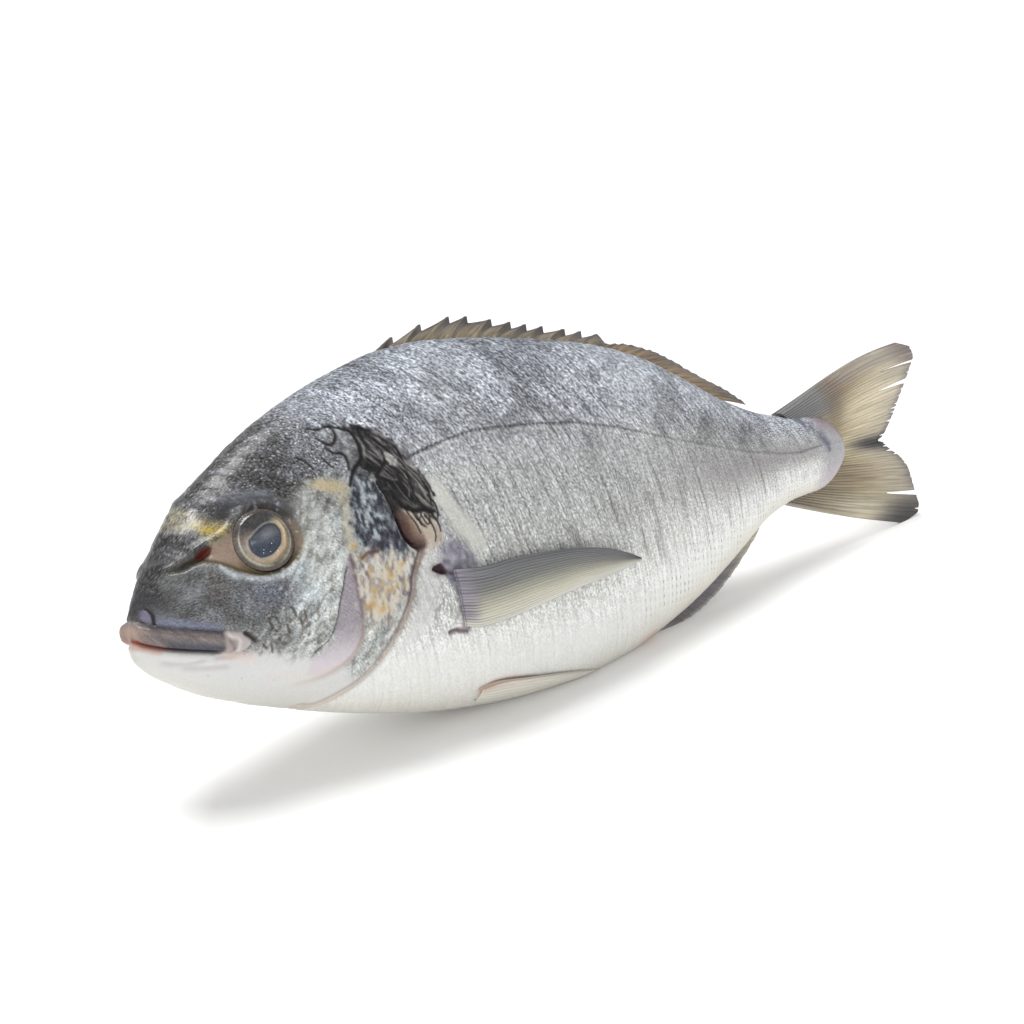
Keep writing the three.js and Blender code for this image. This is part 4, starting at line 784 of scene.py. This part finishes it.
# ------------------------------------------------------------------ fins
def blade(name, P, side_n, half, colL, colR, node_name, mat, rough=.42, grain=.6, floor_clamp=False):
    """A closed thin sheet. P (a,b,3) in fractions, side_n (a,b,3) unit vectors in fractions, half (a,b) mm."""
    a, b = half.shape
    A, B = to_row(P + side_n * (half / SL)[..., None]), to_row(P - side_n * (half / SL)[..., None])
    V_ = np.concatenate([A.reshape(-1, 3), B.reshape(-1, 3)])
    if floor_clamp:
        z = V_[:, 2]; V_[:, 2] = np.where(z < .003, .5 * (z + np.sqrt(z ** 2 + .0004 ** 2)), z)
    i, k = np.meshgrid(np.arange(a - 1), np.arange(b - 1), indexing="ij")
    q = np.stack([i * b + k, (i + 1) * b + k, (i + 1) * b + k + 1, i * b + k + 1], -1).reshape(-1, 4)
    n_ = a * b
    u_, v_ = i / (a - 1), k / (b - 1); du, dv = 1 / (a - 1), 1 / (b - 1)
    uvq = np.stack([np.stack([u_, v_], -1), np.stack([u_ + du, v_], -1), np.stack([u_ + du, v_ + dv], -1), np.stack([u_, v_ + dv], -1)], -2).reshape(-1, 4, 2)
    ua = uvq * [.98, .485] + [.01, .005]; ub = uvq * [.98, .485] + [.01, .51]
    loop = np.concatenate([np.arange(b), np.arange(1, a) * b + b - 1, (a - 1) * b + np.arange(b - 2, -1, -1), np.arange(a - 2, 0, -1) * b])
    nx_ = np.roll(loop, -1)
    rim = np.stack([loop, nx_, nx_ + n_, loop + n_], -1)
    uf = np.stack([np.stack([(loop // b) / (a - 1), (loop % b) / (b - 1)], -1), np.stack([(nx_ // b) / (a - 1), (nx_ % b) / (b - 1)], -1)], 1)
    uf = uf * [.98, .485] + [.01, .005]
    ur = np.stack([uf[:, 0], uf[:, 1], uf[:, 1] + [0, 1e-3], uf[:, 0] + [0, 1e-3]], 1)
    faces = np.vstack([q, q[:, ::-1] + n_, rim[:, ::-1]]); uvs = np.concatenate([ua, ub[:, ::-1], ur[:, ::-1]])
    nf = np.cross(V_[q[:, 1]] - V_[q[:, 0]], V_[q[:, 2]] - V_[q[:, 0]]); out = (A - B).reshape(-1, 3)[q[:, 0]]
    if np.sum(nf * out) < 0:
        faces = faces[:, ::-1]; uvs = uvs[:, ::-1]
    C = np.concatenate([colL.reshape(-1, 3), colR.reshape(-1, 3)])
    return make_object(name, V_, faces, C, {"rough": np.full(len(V_), rough), "grain": np.full(len(V_), grain)}, uvs, node_name, mat)


YN = np.array([0, -1.0, 0])


def curve(pts, t):
    p = np.asarray(pts, float); s = np.concatenate([[0], np.cumsum(np.hypot(*np.diff(p[:, -2:], axis=0).T))]); s /= s[-1]
    return np.stack([tab(p[:, k], t, s) for k in range(p.shape[1])], -1)


# tail fin: rays fan from inside the tail base, with worn splits
a, b = 90, 640
u, v = np.linspace(0, 1, a)[:, None], np.linspace(0, 1, b)[None]
tv = [0, .04, .07, .15, .27, .35, .42, .47, .52, .58, .66, .76, .86, .91, .96, 1]
tx = [1.150, 1.184, 1.186, 1.178, 1.165, 1.150, 1.127, 1.116, 1.127, 1.145, 1.160, 1.180, 1.193, 1.1972, 1.190, 1.161]
tz = [-.1040, -.0945, -.0870, -.0684, -.0383, -.0235, -.0095, .0010, .0105, .0268, .0433, .0667, .0855, .0925, .1050, .1125]
Tx, Tz = tab(tx, v, tv), tab(tz, v, tv)
Bx = .955 - .040 * (2 * v - 1) ** 2; Bz = -.0475 + .102 * v
notch = np.zeros(v.shape)
for v0, w, d in ((.873, .0085, .27), (.752, .0100, .26), (.138, .0105, .25), (.470, .012, .05), (.645, .003, .050), (.622, .004, .085), (.598, .003, .05), (.560, .003, .05), (.685, .002, .03), (.715, .002, .02), (.43, .003, .05), (.40, .004, .06), (.372, .003, .035), (.30, .002, .015), (.22, .002, .015), (.50, .004, .05), (.80, .002, .02), (.052, .003, .03)):
    notch = np.maximum(notch, d * np.clip(1.25 - np.abs(v - v0) / w, 0, 1))
notch += .006 * hash2(np.floor(v * 150), v * 0, 3)
L_ = 1 - notch
uu_ = u * L_
px, pz = Bx + (Tx - Bx) * uu_, Bz + (Tz - Bz) * uu_
pz = pz + .0080 * np.sin(np.pi * np.clip(uu_, 0, 1) ** 1.4) * sstep(.6, 1, v) - .003 * np.sin(np.pi * uu_) * sstep(.4, 0, v)
rays = 52
rr = np.abs(np.sin(np.pi * v * rays)) ** .7
fine = fbm(v * 210, uu_ * 5, 4, 3)
yw = .0016 * np.sin(v * 9 + 2 * uu_) * uu_ ** 2
half = np.interp(px, [.93, 1.03, 1.10, 1.20], [1.9, .95, .45, .28]) * (.80 + .20 * rr) + .05 * (fine - .5)
P = np.stack([px, yw + 0 * px, pz], -1)
c = ramp(uu_ + 0 * v, [(0, 124, 110, 94), (.35, 150, 137, 110), (.50, 170, 158, 128), (.72, 184, 173, 148), (.90, 176, 167, 148), (1, 146, 138, 130)])
c = mixc(c, (122, 100, 84), .75 * np.exp(-((v - .93) / .10) ** 2) * np.exp(-((uu_ - .42) / .14) ** 2) * (.4 + .9 * fine))
c = mixc(c, (128, 122, 118), .60 * sstep(.90, .98, v + .04 * fine) * sstep(.15, .5, uu_))
c = mixc(c, (118, 106, 98), .80 * sstep(.80, .93, v) * sstep(.78, .98, uu_))
c = mixc(c, (204, 195, 170), .45 * np.exp(-((v - .70) / .13) ** 2) * np.exp(-((uu_ - .62) / .20) ** 2))
c = mixc(c, (132, 112, 86), .60 * np.exp(-((v - .24) / .10) ** 2) * np.exp(-((uu_ - .45) / .25) ** 2))
c = mixc(c, (202, 196, 178), .55 * np.exp(-((v - .04) / .06) ** 2) * np.exp(-((uu_ - .50) / .25) ** 2))
c = mixc(c, (38, 36, 38), .95 * np.exp(-((v - .455 - .05 * (1 - uu_)) / .050) ** 2) * sstep(.40, .85, uu_) + .45 * np.exp(-((v - .48) / .06) ** 2) * sstep(.9, 1, uu_))
c = mixc(c, (46, 44, 44), .92 * sstep(.19, .02, v) * sstep(.60, .93, uu_))
c = mixc(c, (120, 112, 112), .55 * sstep(.93, 1.0, uu_) * sstep(.15, .25, v))
c = np.clip(c * 1.10 * (1 - .12 * sstep(.44, .34, v + 0 * u))[..., None] * (.78 + .44 * fine)[..., None] * (.94 + .09 * rr)[..., None], 0, 238)
fl = sstep(.78, .86, fbm(v * 60, uu_ * 14, 9, 2)) * np.exp(-((uu_ - .50) / .09) ** 2) * np.exp(-((v - .74) / .12) ** 2)
c = mixc(c, (222, 214, 204), .9 * fl)
c = mixc(c, (124, 127, 133), .80 * sstep(.40, .27, uu_ + .22 * (fine - .5)) * sstep(.70, .86, v))
c = mixc(c, (112, 96, 80), .55 * sstep(.46, .36, uu_) * sstep(.24, .32, uu_) * (.3 + .9 * fine) * sstep(.5, .8, v))
blade("fish_tail_fin", P, np.broadcast_to(YN, P.shape), half, c, mixc(c, (150, 140, 124), .25), "caudal_fin", FIN)

# back fin: folded spines with serrated tips, then soft rays
DT = [(.298, .156), (.3085, .1665), (.329, .1765), (.376, .1895), (.415, .1950), (.441, .1940), (.473, .1890), (.498, .1850), (.521, .1815), (.547, .1782), (.577, .1735), (.606, .1690), (.626, .1655), (.6385, .1560), (.646, .1545), (.660, .1545), (.673, .1530), (.708, .1438), (.748, .1292), (.7895, .1090), (.831, .0902), (.858, .0760), (.864, .0722)]
tips = np.array([.3085, .340, .376, .415, .441, .473, .498, .521, .547, .577, .600, .626])
a, b = 46, 900
u = np.linspace(0, 1, a)[:, None]; xt = np.linspace(.298, .864, b)[None]
zt_ = np.interp(xt, [p[0] for p in DT], [p[1] for p in DT])
nxt = np.searchsorted(tips, xt, side="left").clip(0, len(tips) - 1); prev = np.where(nxt > 0, tips[nxt - 1], .290); nx2 = tips[nxt]
saw = np.clip((nx2 - xt) / (nx2 - prev + 1e-6), 0, 1); spiny = sstep(.632, .624, xt)
zt_ = zt_ - spiny * .0066 * np.clip(saw * 1.15 - .08, 0, 1) ** .8 * sstep(.30, .33, xt) - (1 - spiny) * .0012 * np.abs(np.sin(xt * 250)) - (1 - spiny) * .0010 * hash2(np.floor(xt * 900), xt * 0, 5)
xb = xt - np.interp(xt, [.298, .33, .62, .66, .864], [.010, .034, .036, .030, .078]); zb_ = tab(ZT, xb) - .010
px, pz = xb + (xt - xb) * u, zb_ + (zt_ - zb_) * u
pz = pz + .0020 * np.sin(np.pi * u)
sp = np.zeros(xt.shape)
for t0_ in tips:
    sp = np.maximum(sp, np.exp(-((xt - t0_ + .0010) / .0019) ** 2))
ry = np.abs(np.sin((xt - .64) * np.pi / .0150)) ** 1.5
fine = fbm(xt * 330, u * 3.0, 7, 3)
half = np.where(xt < .63, .22 + .55 * sp * (1 - .75 * u), .30 + .20 * ry * (1 - .6 * u)) + .5 * sstep(.25, 0, u)
off = .0016 * np.sin(xt * 60) * u * sstep(.3, .34, xt) + .0008 * sp
P = np.stack([px, off + 0 * px, pz], -1)
c = ramp(u + 0 * xt, [(0, 140, 126, 104), (.35, 158, 144, 120), (.7, 140, 128, 112), (1, 108, 102, 98)])
soft = ramp(u + 0 * xt, [(0, 158, 138, 108), (.4, 150, 128, 98), (.75, 132, 118, 104), (1, 116, 110, 108)])
c = np.where((xt > .632)[..., None] & np.ones(px.shape, bool)[..., None], soft, c)
c = mixc(c, (72, 68, 68), (.85 * sp * sstep(.15, .8, u)) * spiny)
c = mixc(c, (88, 84, 84), .55 * spiny * sstep(.75, 1, u))
c = mixc(c, (112, 84, 56), .6 * (1 - spiny) * sstep(.6, .9, fine) + .35 * (1 - spiny) * (1 - ry) * sstep(.9, .3, u))
c = mixc(c, (182, 162, 130), .45 * (1 - spiny) * ry * sstep(.9, .3, u))
c = mixc(c, (222, 216, 200), .8 * sstep(.812, .850, px) * sstep(.62, .2, u))
c = c * (.68 + .62 * fine)[..., None]
blade("fish_back_fin", P, np.broadcast_to(YN, P.shape), half, c, c, "dorsal_fin", FIN)

# anal fin
AT = [(.655, -.1560), (.665, -.1640), (.693, -.1600), (.7215, -.1512), (.7536, -.1418), (.7866, -.1272), (.8157, -.1078), (.849, -.0822), (.8655, -.0685)]
a, b = 30, 420
u = np.linspace(0, 1, a)[:, None]; xt = np.linspace(.655, .8655, b)[None]
zt_ = np.interp(xt, [p[0] for p in AT], [p[1] for p in AT]) + .0010 * np.abs(np.sin(xt * 210)) + .0008 * hash2(np.floor(xt * 900), xt * 0, 6)
xb = xt - np.interp(xt, [.655, .70, .8655], [.004, .024, .058]); zb_ = tab(ZB, xb) + .012
px, pz = xb + (xt - xb) * u, zb_ + (zt_ - zb_) * u
ry = np.abs(np.sin((xt - .66) * np.pi / .0170)) ** 1.5; fine = fbm(xt * 330, u * 3, 8, 3)
half = .30 + .22 * ry * (1 - .6 * u) + .4 * sstep(.3, 0, u)
P = np.stack([px, .0012 * np.sin(xt * 50) * u + 0 * px, pz], -1)
c = ramp(u + 0 * xt, [(0, 196, 188, 178), (.30, 150, 146, 146), (.55, 96, 94, 98), (.85, 104, 102, 104), (1, 176, 172, 164)])
c = mixc(c, (206, 196, 172), .8 * sstep(.80, .86, xt) * (.4 + .6 * u)); c = mixc(c, (212, 205, 194), .88 * sstep(.715, .675, xt + 0 * u)); c = c * (.82 + .36 * fine)[..., None]
blade("fish_anal_fin", P, np.broadcast_to(YN, P.shape), half, c, c, "anal_fin", FIN, floor_clamp=True)

# pectoral fins: held just off the flank
UP = [(.3110, -.0445), (.3500, -.0468), (.3975, -.0440), (.4600, -.0452), (.5167, -.0509), (.5600, -.0612), (.5858, -.0702)]
LO = [(.3260, -.1000), (.3450, -.1035), (.3800, -.1012), (.4250, -.0945), (.4750, -.0868), (.5400, -.0795), (.5858, -.0725)]
for s_, nm in ((-1, "left"), (1, "right")):
    a, b = 150, 200
    u = np.linspace(0, 1, a)[:, None]; v = np.linspace(0, 1, b)[None]
    up_, lo_ = curve(UP, u[:, 0]), curve(LO, u[:, 0])
    nray = 20; rr = np.abs(np.sin(np.pi * (v ** .9) * nray)); fine = fbm(v * 120, u * 4, 5 if s_ < 0 else 15, 3)
    sx = lo_[:, None, 0] * (1 - v) + up_[:, None, 0] * v; sz = lo_[:, None, 1] * (1 - v) + up_[:, None, 1] * v
    # the fin stands off the flank, further toward its tip and in its middle
    d_ = .0050 + .0085 * u ** .8 + .0022 * np.sin(np.pi * v) * sstep(0, .2, u)
    ys = skin_y(sx, sz)
    if s_ < 0:
        P = np.stack([sx - .99 * d_, -(ys + d_), sz + .485 * d_], -1)
    else:
        P = np.stack([sx - .4 * d_, ys + d_, sz - .1 * d_], -1)
    half = (.16 + .20 * (1 - u)) * (.70 + .40 * (1 - rr) ** 1.4) + .03
    n_ = np.array([0, s_ * 1.0, 0])
    top_ = sstep(.40, .80, v + .05 * np.sin(u * 3))
    c = ramp(v + 0 * u, [(0, 212, 210, 199), (.22, 198, 194, 176), (.45, 158, 156, 141), (.62, 116, 116, 111), (.82, 100, 101, 102), (1, 84, 85, 88)])
    c = mixc(c, (204, 206, 204), .55 * sstep(.45, 1.0, u) * sstep(.45, .1, v))
    c = mixc(c, (98, 98, 98), .62 * sstep(.55, 1, u) * sstep(.25, .6, v))
    c = mixc(c, (172, 176, 184), .45 * np.exp(-((v - .90) / .07) ** 2) * sstep(.35, .0, u))
    linew = sstep(.42, .12, rr)
    c = mixc(c, (58, 58, 60), (.12 + .62 * top_) * linew * sstep(0, .08, u))
    c = mixc(c, (76, 76, 78), .50 * sstep(.60, .78, fine) * (.25 + .75 * top_))
    c = mixc(c, (186, 188, 190), .35 * top_ * np.exp(-((rr - .75) / .2) ** 2))
    c = mixc(c, (134, 129, 142) + ((fine - .5) * 90)[..., None], .85 * sstep(.13, .03, u + .07 * (fine - .5) + .05 * np.abs(v - .55)) * sstep(.02, .2, v))
    c = c * (.82 + .36 * fine)[..., None]
    blade("fish_pectoral_" + nm, P, np.broadcast_to(n_, P.shape), half, c, c * .96, "pectoral_fin_" + nm, FIN)

# pelvic fins: the left one lies along the belly, the right one on the table
UP = [(.3690, -.1660), (.3908, -.1640), (.4350, -.1680), (.4850, -.1722), (.5300, -.1760), (.5683, -.1790)]
LO = [(.3720, -.1780), (.4000, -.1840), (.4500, -.1862), (.5000, -.1868), (.5400, -.1830), (.5683, -.1800)]
a, b = 110, 90
u = np.linspace(0, 1, a)[:, None]; v = np.linspace(0, 1, b)[None]
up_, lo_ = curve(UP, u[:, 0]), curve(LO, u[:, 0])
rr = np.abs(np.sin(np.pi * v * 6)); fine = fbm(v * 50, u * 4, 6, 3)
sx = lo_[:, None, 0] * (1 - v) + up_[:, None, 0] * v; sz = lo_[:, None, 1] * (1 - v) + up_[:, None, 1] * v
d_ = .0026 + .0050 * np.sin(np.pi * np.clip(u, 0, 1)) * (.5 + .5 * v) + .004 * u
ys = skin_y(sx, np.maximum(sz, tab(ZB, sx) + .0005))
P = np.stack([sx - .99 * d_, -(ys + d_), sz + .485 * d_], -1)
half = .20 + .18 * (1 - rr) * (1 - .5 * u) + .25 * sstep(.25, 0, u)
nn = np.broadcast_to(np.array([0, -.79, -.61]), P.shape)
c = ramp(v + 0 * u, [(0, 216, 212, 200), (.5, 221, 218, 209), (1, 214, 207, 197)])
c = mixc(c, (206, 172, 156), .5 * sstep(.35, 0, u) * sstep(.4, .9, v)); c = mixc(c, (172, 166, 150), .35 * sstep(.4, .1, rr)); c = c * (.94 + .12 * fine)[..., None]
blade("fish_pelvic_left", P, nn, half, c, c * .97, "pelvic_fin_left", FIN, floor_clamp=True)

S = [(.372, .0420, .0080, .0100), (.400, .0500, .0055, .0150), (.440, .0620, .0034, .0180), (.490, .0740, .0030, .0180), (.535, .0820, .0027, .0130), (.575, .0870, .0024, .0055)]
st = np.array(S); uu_ = np.linspace(st[0, 0], st[-1, 0], a)
cy, lift, hh = (tab(st[:, k], uu_, st[:, 0]) for k in (1, 2, 3))
w_ = (2 * v - 1)
yy = cy[:, None] + .967 * hh[:, None] * w_
zf = (-SHIFT[2] / SL - ROW[2, 0] * uu_[:, None] - ROW[2, 1] * yy) / ROW[2, 2]
P = np.stack([uu_[:, None] + 0 * w_, yy, zf + lift[:, None] + .0012 * np.abs(np.sin(np.pi * v * 6)) * 0 + .0008], -1)
nn = np.broadcast_to(np.array([0, .254, .967]) / np.hypot(.254, .967), P.shape)
blade("fish_pelvic_right", P, nn, half, c, c * .97, "pelvic_fin_right", FIN, floor_clamp=True)

# ------------------------------------------------------------------ eyes
PUPIL = [(.0992, .0095), (.1030, .0130), (.1075, .016), (.1130, .0190), (.1192, .0211), (.1250, .0208), (.1283, .0187), (.1302, .0140), (.13, .0088), (.1285, .0040), (.1258, .0001), (.1167, -.0059), (.1075, -.0064), (.1030, -.0035), (.1, .0004), (.0988, .0050)]
for s_, nm in ((-1, "left"), (1, "right")):
    nr, na = 150, 400
    rho = np.concatenate([np.linspace(0.004, 1.0, nr - 10), [1.0, .998, .99, .97, .95, .93, .90, .86, .80, .70]])[:, None]
    drop = np.concatenate([np.zeros(nr - 10), [.0006, .0020, .0040, .0060, .0080, .0095, .0105, .0112, .0118, .0120]])[:, None]
    th = np.linspace(0, 2 * np.pi, na, endpoint=False)[None]
    n_ = EYE_N * [1, s_, 1]; e1 = np.array([1, 0, 0]) - n_[0] * n_; e1 /= np.linalg.norm(e1); e2 = np.cross(n_, e1); e2 *= np.sign(e2[2])
    Rr = .0283
    r_ = rho * Rr * (1 + .015 * np.cos(2 * th + .6)); sag = np.sqrt(.062 ** 2 - (r_) ** 2) - math.sqrt(.062 ** 2 - Rr ** 2)
    cen = np.array([.1152, .0532 * s_, .0090])
    lx, lz = r_ * np.cos(th), r_ * np.sin(th)
    fx, fz = .1152 + lx * .985, .0090 + lz * .985  # side-view place
    pd = poly_sd(fx * SL, fz * SL, PUPIL)
    ang = th + 0 * r_; rr_ = rho + 0 * th
    right = .5 + .5 * np.cos(ang + .35)  # 1 at the rear and below
    low_ = .5 + .5 * np.cos(ang + math.pi / 2 - .1)
    leftlow = .5 + .5 * np.cos(ang - math.pi * 1.18)
    fn2 = fbm(fx * SL * 2.4, fz * SL * 2.4, 7, 3); fr = fbm(ang * 6 / (2 * math.pi) * 4, rr_ * 5, 8, 3)
    c = np.empty(fx.shape + (3,)); c[:] = (88, 81, 73)
    c = mixc(c, (52, 51, 52), sstep(.28, .72, .5 + .5 * np.sin(ang + .05)) * .94); c = mixc(c, (58, 54, 50), .8 * np.exp(-((ang - 4.95) / .30) ** 2) * sstep(.45, .7, rr_))
    c = mixc(c, (160, 144, 120), .70 * sstep(2.4, .8, pd) * sstep(.45, .8, right))
    c = mixc(c, (214, 186, 140), .85 * np.exp(-((pd - .75) / .55) ** 2) * sstep(.5, .85, right))
    c = mixc(c, (152, 140, 124), .60 * sstep(2.8, .4, pd) * sstep(.5, .9, leftlow))
    c = mixc(c, (178, 150, 128), .7 * np.exp(-((pd - .7) / .5) ** 2) * sstep(.55, .9, low_))
    c = mixc(c, (150, 150, 148), .6 * np.exp(-((pd - .35) / .22) ** 2))
    c = mixc(c, (96, 74, 66), .5 * np.exp(-ell(fx * SL, fz * SL, .0935, .0120, .006, .004) ** 2))
    ringm = np.exp(-((rr_ - .845) / .040) ** 2)
    c = mixc(c, (204, 204, 188), ringm * np.clip(.85 * sstep(.60, .95, leftlow) + .60 * sstep(.62, .92, .5 + .5 * np.cos(ang + .15)), 0, .9) * (.7 + .5 * (fr - .3)))
    c = mixc(c, (150, 138, 108), .5 * np.exp(-((rr_ - .76) / .05) ** 2) * sstep(.45, .8, low_))
    c = mixc(c, (72, 65, 56), .88 * sstep(.885, .935, rr_)); c = mixc(c, (120, 118, 114), .22 * np.exp(-((rr_ - .965) / .012) ** 2) * sstep(.3, .8, .5 + .5 * np.sin(ang + .1)))
    c += ((fn2 - .5) * 40)[..., None]
    pc = ramp(np.clip((fz - .0065) / .028 + .5, 0, 1), [(0, 62, 70, 84), (.35, 52, 60, 74), (.7, 70, 74, 82), (1, 48, 50, 56)])
    pc = mixc(pc, (126, 130, 134), .62 * np.exp(-ell(fx * SL, fz * SL, .1175, .0125, .009, .0055, 25) ** 2)); pc = mixc(pc, (140, 148, 154), .5 * np.exp(-ell(fx * SL, fz * SL, .1025, .0075, .0035, .0012, 10) ** 2))
    pc = mixc(pc, (44, 46, 52), .6 * sstep(-.7, 0, pd))
    pc += ((fn2 - .5) * 22)[..., None]
    c = mixc(c, pc, sstep(.12, -.12, pd))
    # painted highlights: tiny white lamp reflections on the pupil
    for (dx_, dz_, q_) in ((.1190, .0037, .0009), (.1106, -.0004, .0008), (.1099, -.0030, .0009), (.1164, -.0030, .0007), (.1236, -.0037, .0012), (.1215, .0052, .0005)):
        c = mixc(c, (232, 236, 238), .92 * sstep(1.2, .5, ell(fx * SL, fz * SL, dx_, dz_, q_ * .62, q_ * .62)))
    nz = .0002 * (fn2 - .5) + .0005 * np.exp(-((pd - .3) / .35) ** 2) / 1.0 * .6 + .0005 * ringm
    P = cen + lx[..., None] * e1 + lz[..., None] * e2 + n_ * (-.0004 + sag - drop + nz)[..., None]
    V_ = to_row(P).reshape(-1, 3); top_c = to_row(cen + n_ * (-.0004 + sag[0, 0]))[None]; back_c = to_row(cen + n_ * (-.0136))[None]
    V_ = np.vstack([V_, top_c, back_c]); i, k = np.meshgrid(np.arange(nr - 1), np.arange(na), indexing="ij"); k2 = (k + 1) % na
    q = np.stack([i * na + k, (i + 1) * na + k, (i + 1) * na + k2, i * na + k2], -1).reshape(-1, 4)
    ke = np.arange(na); kn = (ke + 1) % na
    f0 = np.stack([np.full(na, nr * na), ke, kn, np.full(na, -1)], -1); f1 = np.stack([np.full(na, nr * na + 1), (nr - 1) * na + kn, (nr - 1) * na + ke, np.full(na, -1)], -1)
    rd = np.concatenate([np.linspace(0.004, .90, nr - 10), np.linspace(.905, .985, 10)])[:, None]
    uvp = np.stack([.5 + .49 * rd * np.cos(th), .5 + .49 * rd * np.sin(th)], -1).reshape(-1, 2)
    uvall = np.vstack([uvp, [[.5, .5]], [[.999, .999]]])
    F = np.vstack([q, f0, f1]); uvs_ = uvall[np.where(F < 0, 0, F)]
    back_uv = uvall[(nr - 1) * na + ke]; uvs_[-na:, 0] = back_uv * .999
    nf = np.cross(V_[F[:, 1]] - V_[F[:, 0]], V_[F[:, 2]] - V_[F[:, 0]]); ctr_ = to_row(cen + n_ * (-.007))
    if np.sum(nf * (V_[F[:, 0]] - ctr_)) < 0:
        q4 = F[:, 3] >= 0; F[q4] = F[q4][:, ::-1]; uvs_[q4] = uvs_[q4][:, ::-1]; F[~q4, :3] = F[~q4, :3][:, ::-1]; uvs_[~q4, :3] = uvs_[~q4, :3][:, ::-1]
    Cc = np.vstack([c.reshape(-1, 3), c[0].mean(0)[None], [[60, 50, 46]]])
    make_object("fish_eye_" + nm, V_, F, Cc, {"rough": np.full(len(V_), .22), "grain": np.full(len(V_), .4)}, uvs_, "eye_" + nm, EYE)


# ------------------------------------------------------------------ floor, light, camera
def quad_sheet(name, x0, x1, y0, y1, z, n=24):
    gx, gy = np.meshgrid(np.linspace(x0, x1, n), np.linspace(y0, y1, n), indexing="ij")
    v = np.stack([gx.ravel(), gy.ravel(), np.full(gx.size, z)], -1)
    ii, jj = np.meshgrid(np.arange(n - 1), np.arange(n - 1), indexing="ij")
    f = np.stack([ii * n + jj, (ii + 1) * n + jj, (ii + 1) * n + jj + 1, ii * n + jj + 1], -1).reshape(-1, 4)
    me = bpy.data.meshes.new(name); me.from_pydata(v.tolist(), [], f.tolist()); me.update()
    ob = bpy.data.objects.new(name, me); scene.collection.objects.link(ob)
    return ob


floor = quad_sheet("studio_floor", -6, 6, -6, 6, 0.0, 12)
fm_ = bpy.data.materials.new("studio_white"); fm_.use_nodes = True
fb = fm_.node_tree.nodes["Principled BSDF"]; fb.inputs["Base Color"].default_value = (.93, .93, .925, 1); fb.inputs["Roughness"].default_value = .7; fb.inputs["Specular IOR Level"].default_value = .15
# the far floor glows a little, so that the studio stays white to the top of the frame
ft = fm_.node_tree; ftc = ft.nodes.new("ShaderNodeTexCoord"); fl_ = ft.nodes.new("ShaderNodeVectorMath"); fl_.operation = "LENGTH"
ft.links.new(ftc.outputs["Object"], fl_.inputs[0]); fr_ = ft.nodes.new("ShaderNodeMapRange"); fr_.inputs["From Min"].default_value = .35; fr_.inputs["From Max"].default_value = 1.6
fr_.inputs["To Min"].default_value = .06; fr_.inputs["To Max"].default_value = .75; ft.links.new(fl_.outputs["Value"], fr_.inputs["Value"])
fb.inputs["Emission Color"].default_value = (1, 1, 1, 1); ft.links.new(fr_.outputs["Result"], fb.inputs["Emission Strength"])
floor.data.materials.append(fm_)


def area(name, loc, target, size, power, color=(1, 1, 1)):
    l = bpy.data.lights.new(name, "AREA"); l.shape = "RECTANGLE"; l.size, l.size_y = size; l.energy = power; l.color = color
    ob = bpy.data.objects.new(name, l); scene.collection.objects.link(ob); ob.location = loc
    d = Vector(target) - Vector(loc); ob.rotation_euler = d.to_track_quat("-Z", "Y").to_euler()
    return ob


area("key", (-0.26, 0.26, 1.35), (0.0, 0.0, 0.02), (.75, .55), 17.4)
area("front", (-1.1, -1.0, 0.75), (-0.03, 0, 0.04), (1.2, .9), 5.0)
world = bpy.data.worlds.new("studio"); scene.world = world; world.use_nodes = True
bgn = world.node_tree.nodes["Background"]; bgn.inputs["Color"].default_value = (1, 1, 1, 1); bgn.inputs["Strength"].default_value = 0.52
scene.view_settings.view_transform = "Standard"; scene.view_settings.look = "None"

cam = bpy.data.cameras.new("camera"); cam.lens = 85.0; cam.sensor_width = 36.0; cam.sensor_fit = "HORIZONTAL"
cam.clip_start, cam.clip_end = 0.02, 50.0
co = bpy.data.objects.new("camera", cam); scene.collection.objects.link(co)
R = Matrix(((0.7102227, 0.2291925, -0.6656234), (-0.7039771, 0.2312259, -0.6715287), (0.0, 0.9455186, 0.3255682)))
co.matrix_world = Matrix.Translation((-0.425977, -0.396279, 0.235149)) @ R.to_4x4()
scene.camera = co
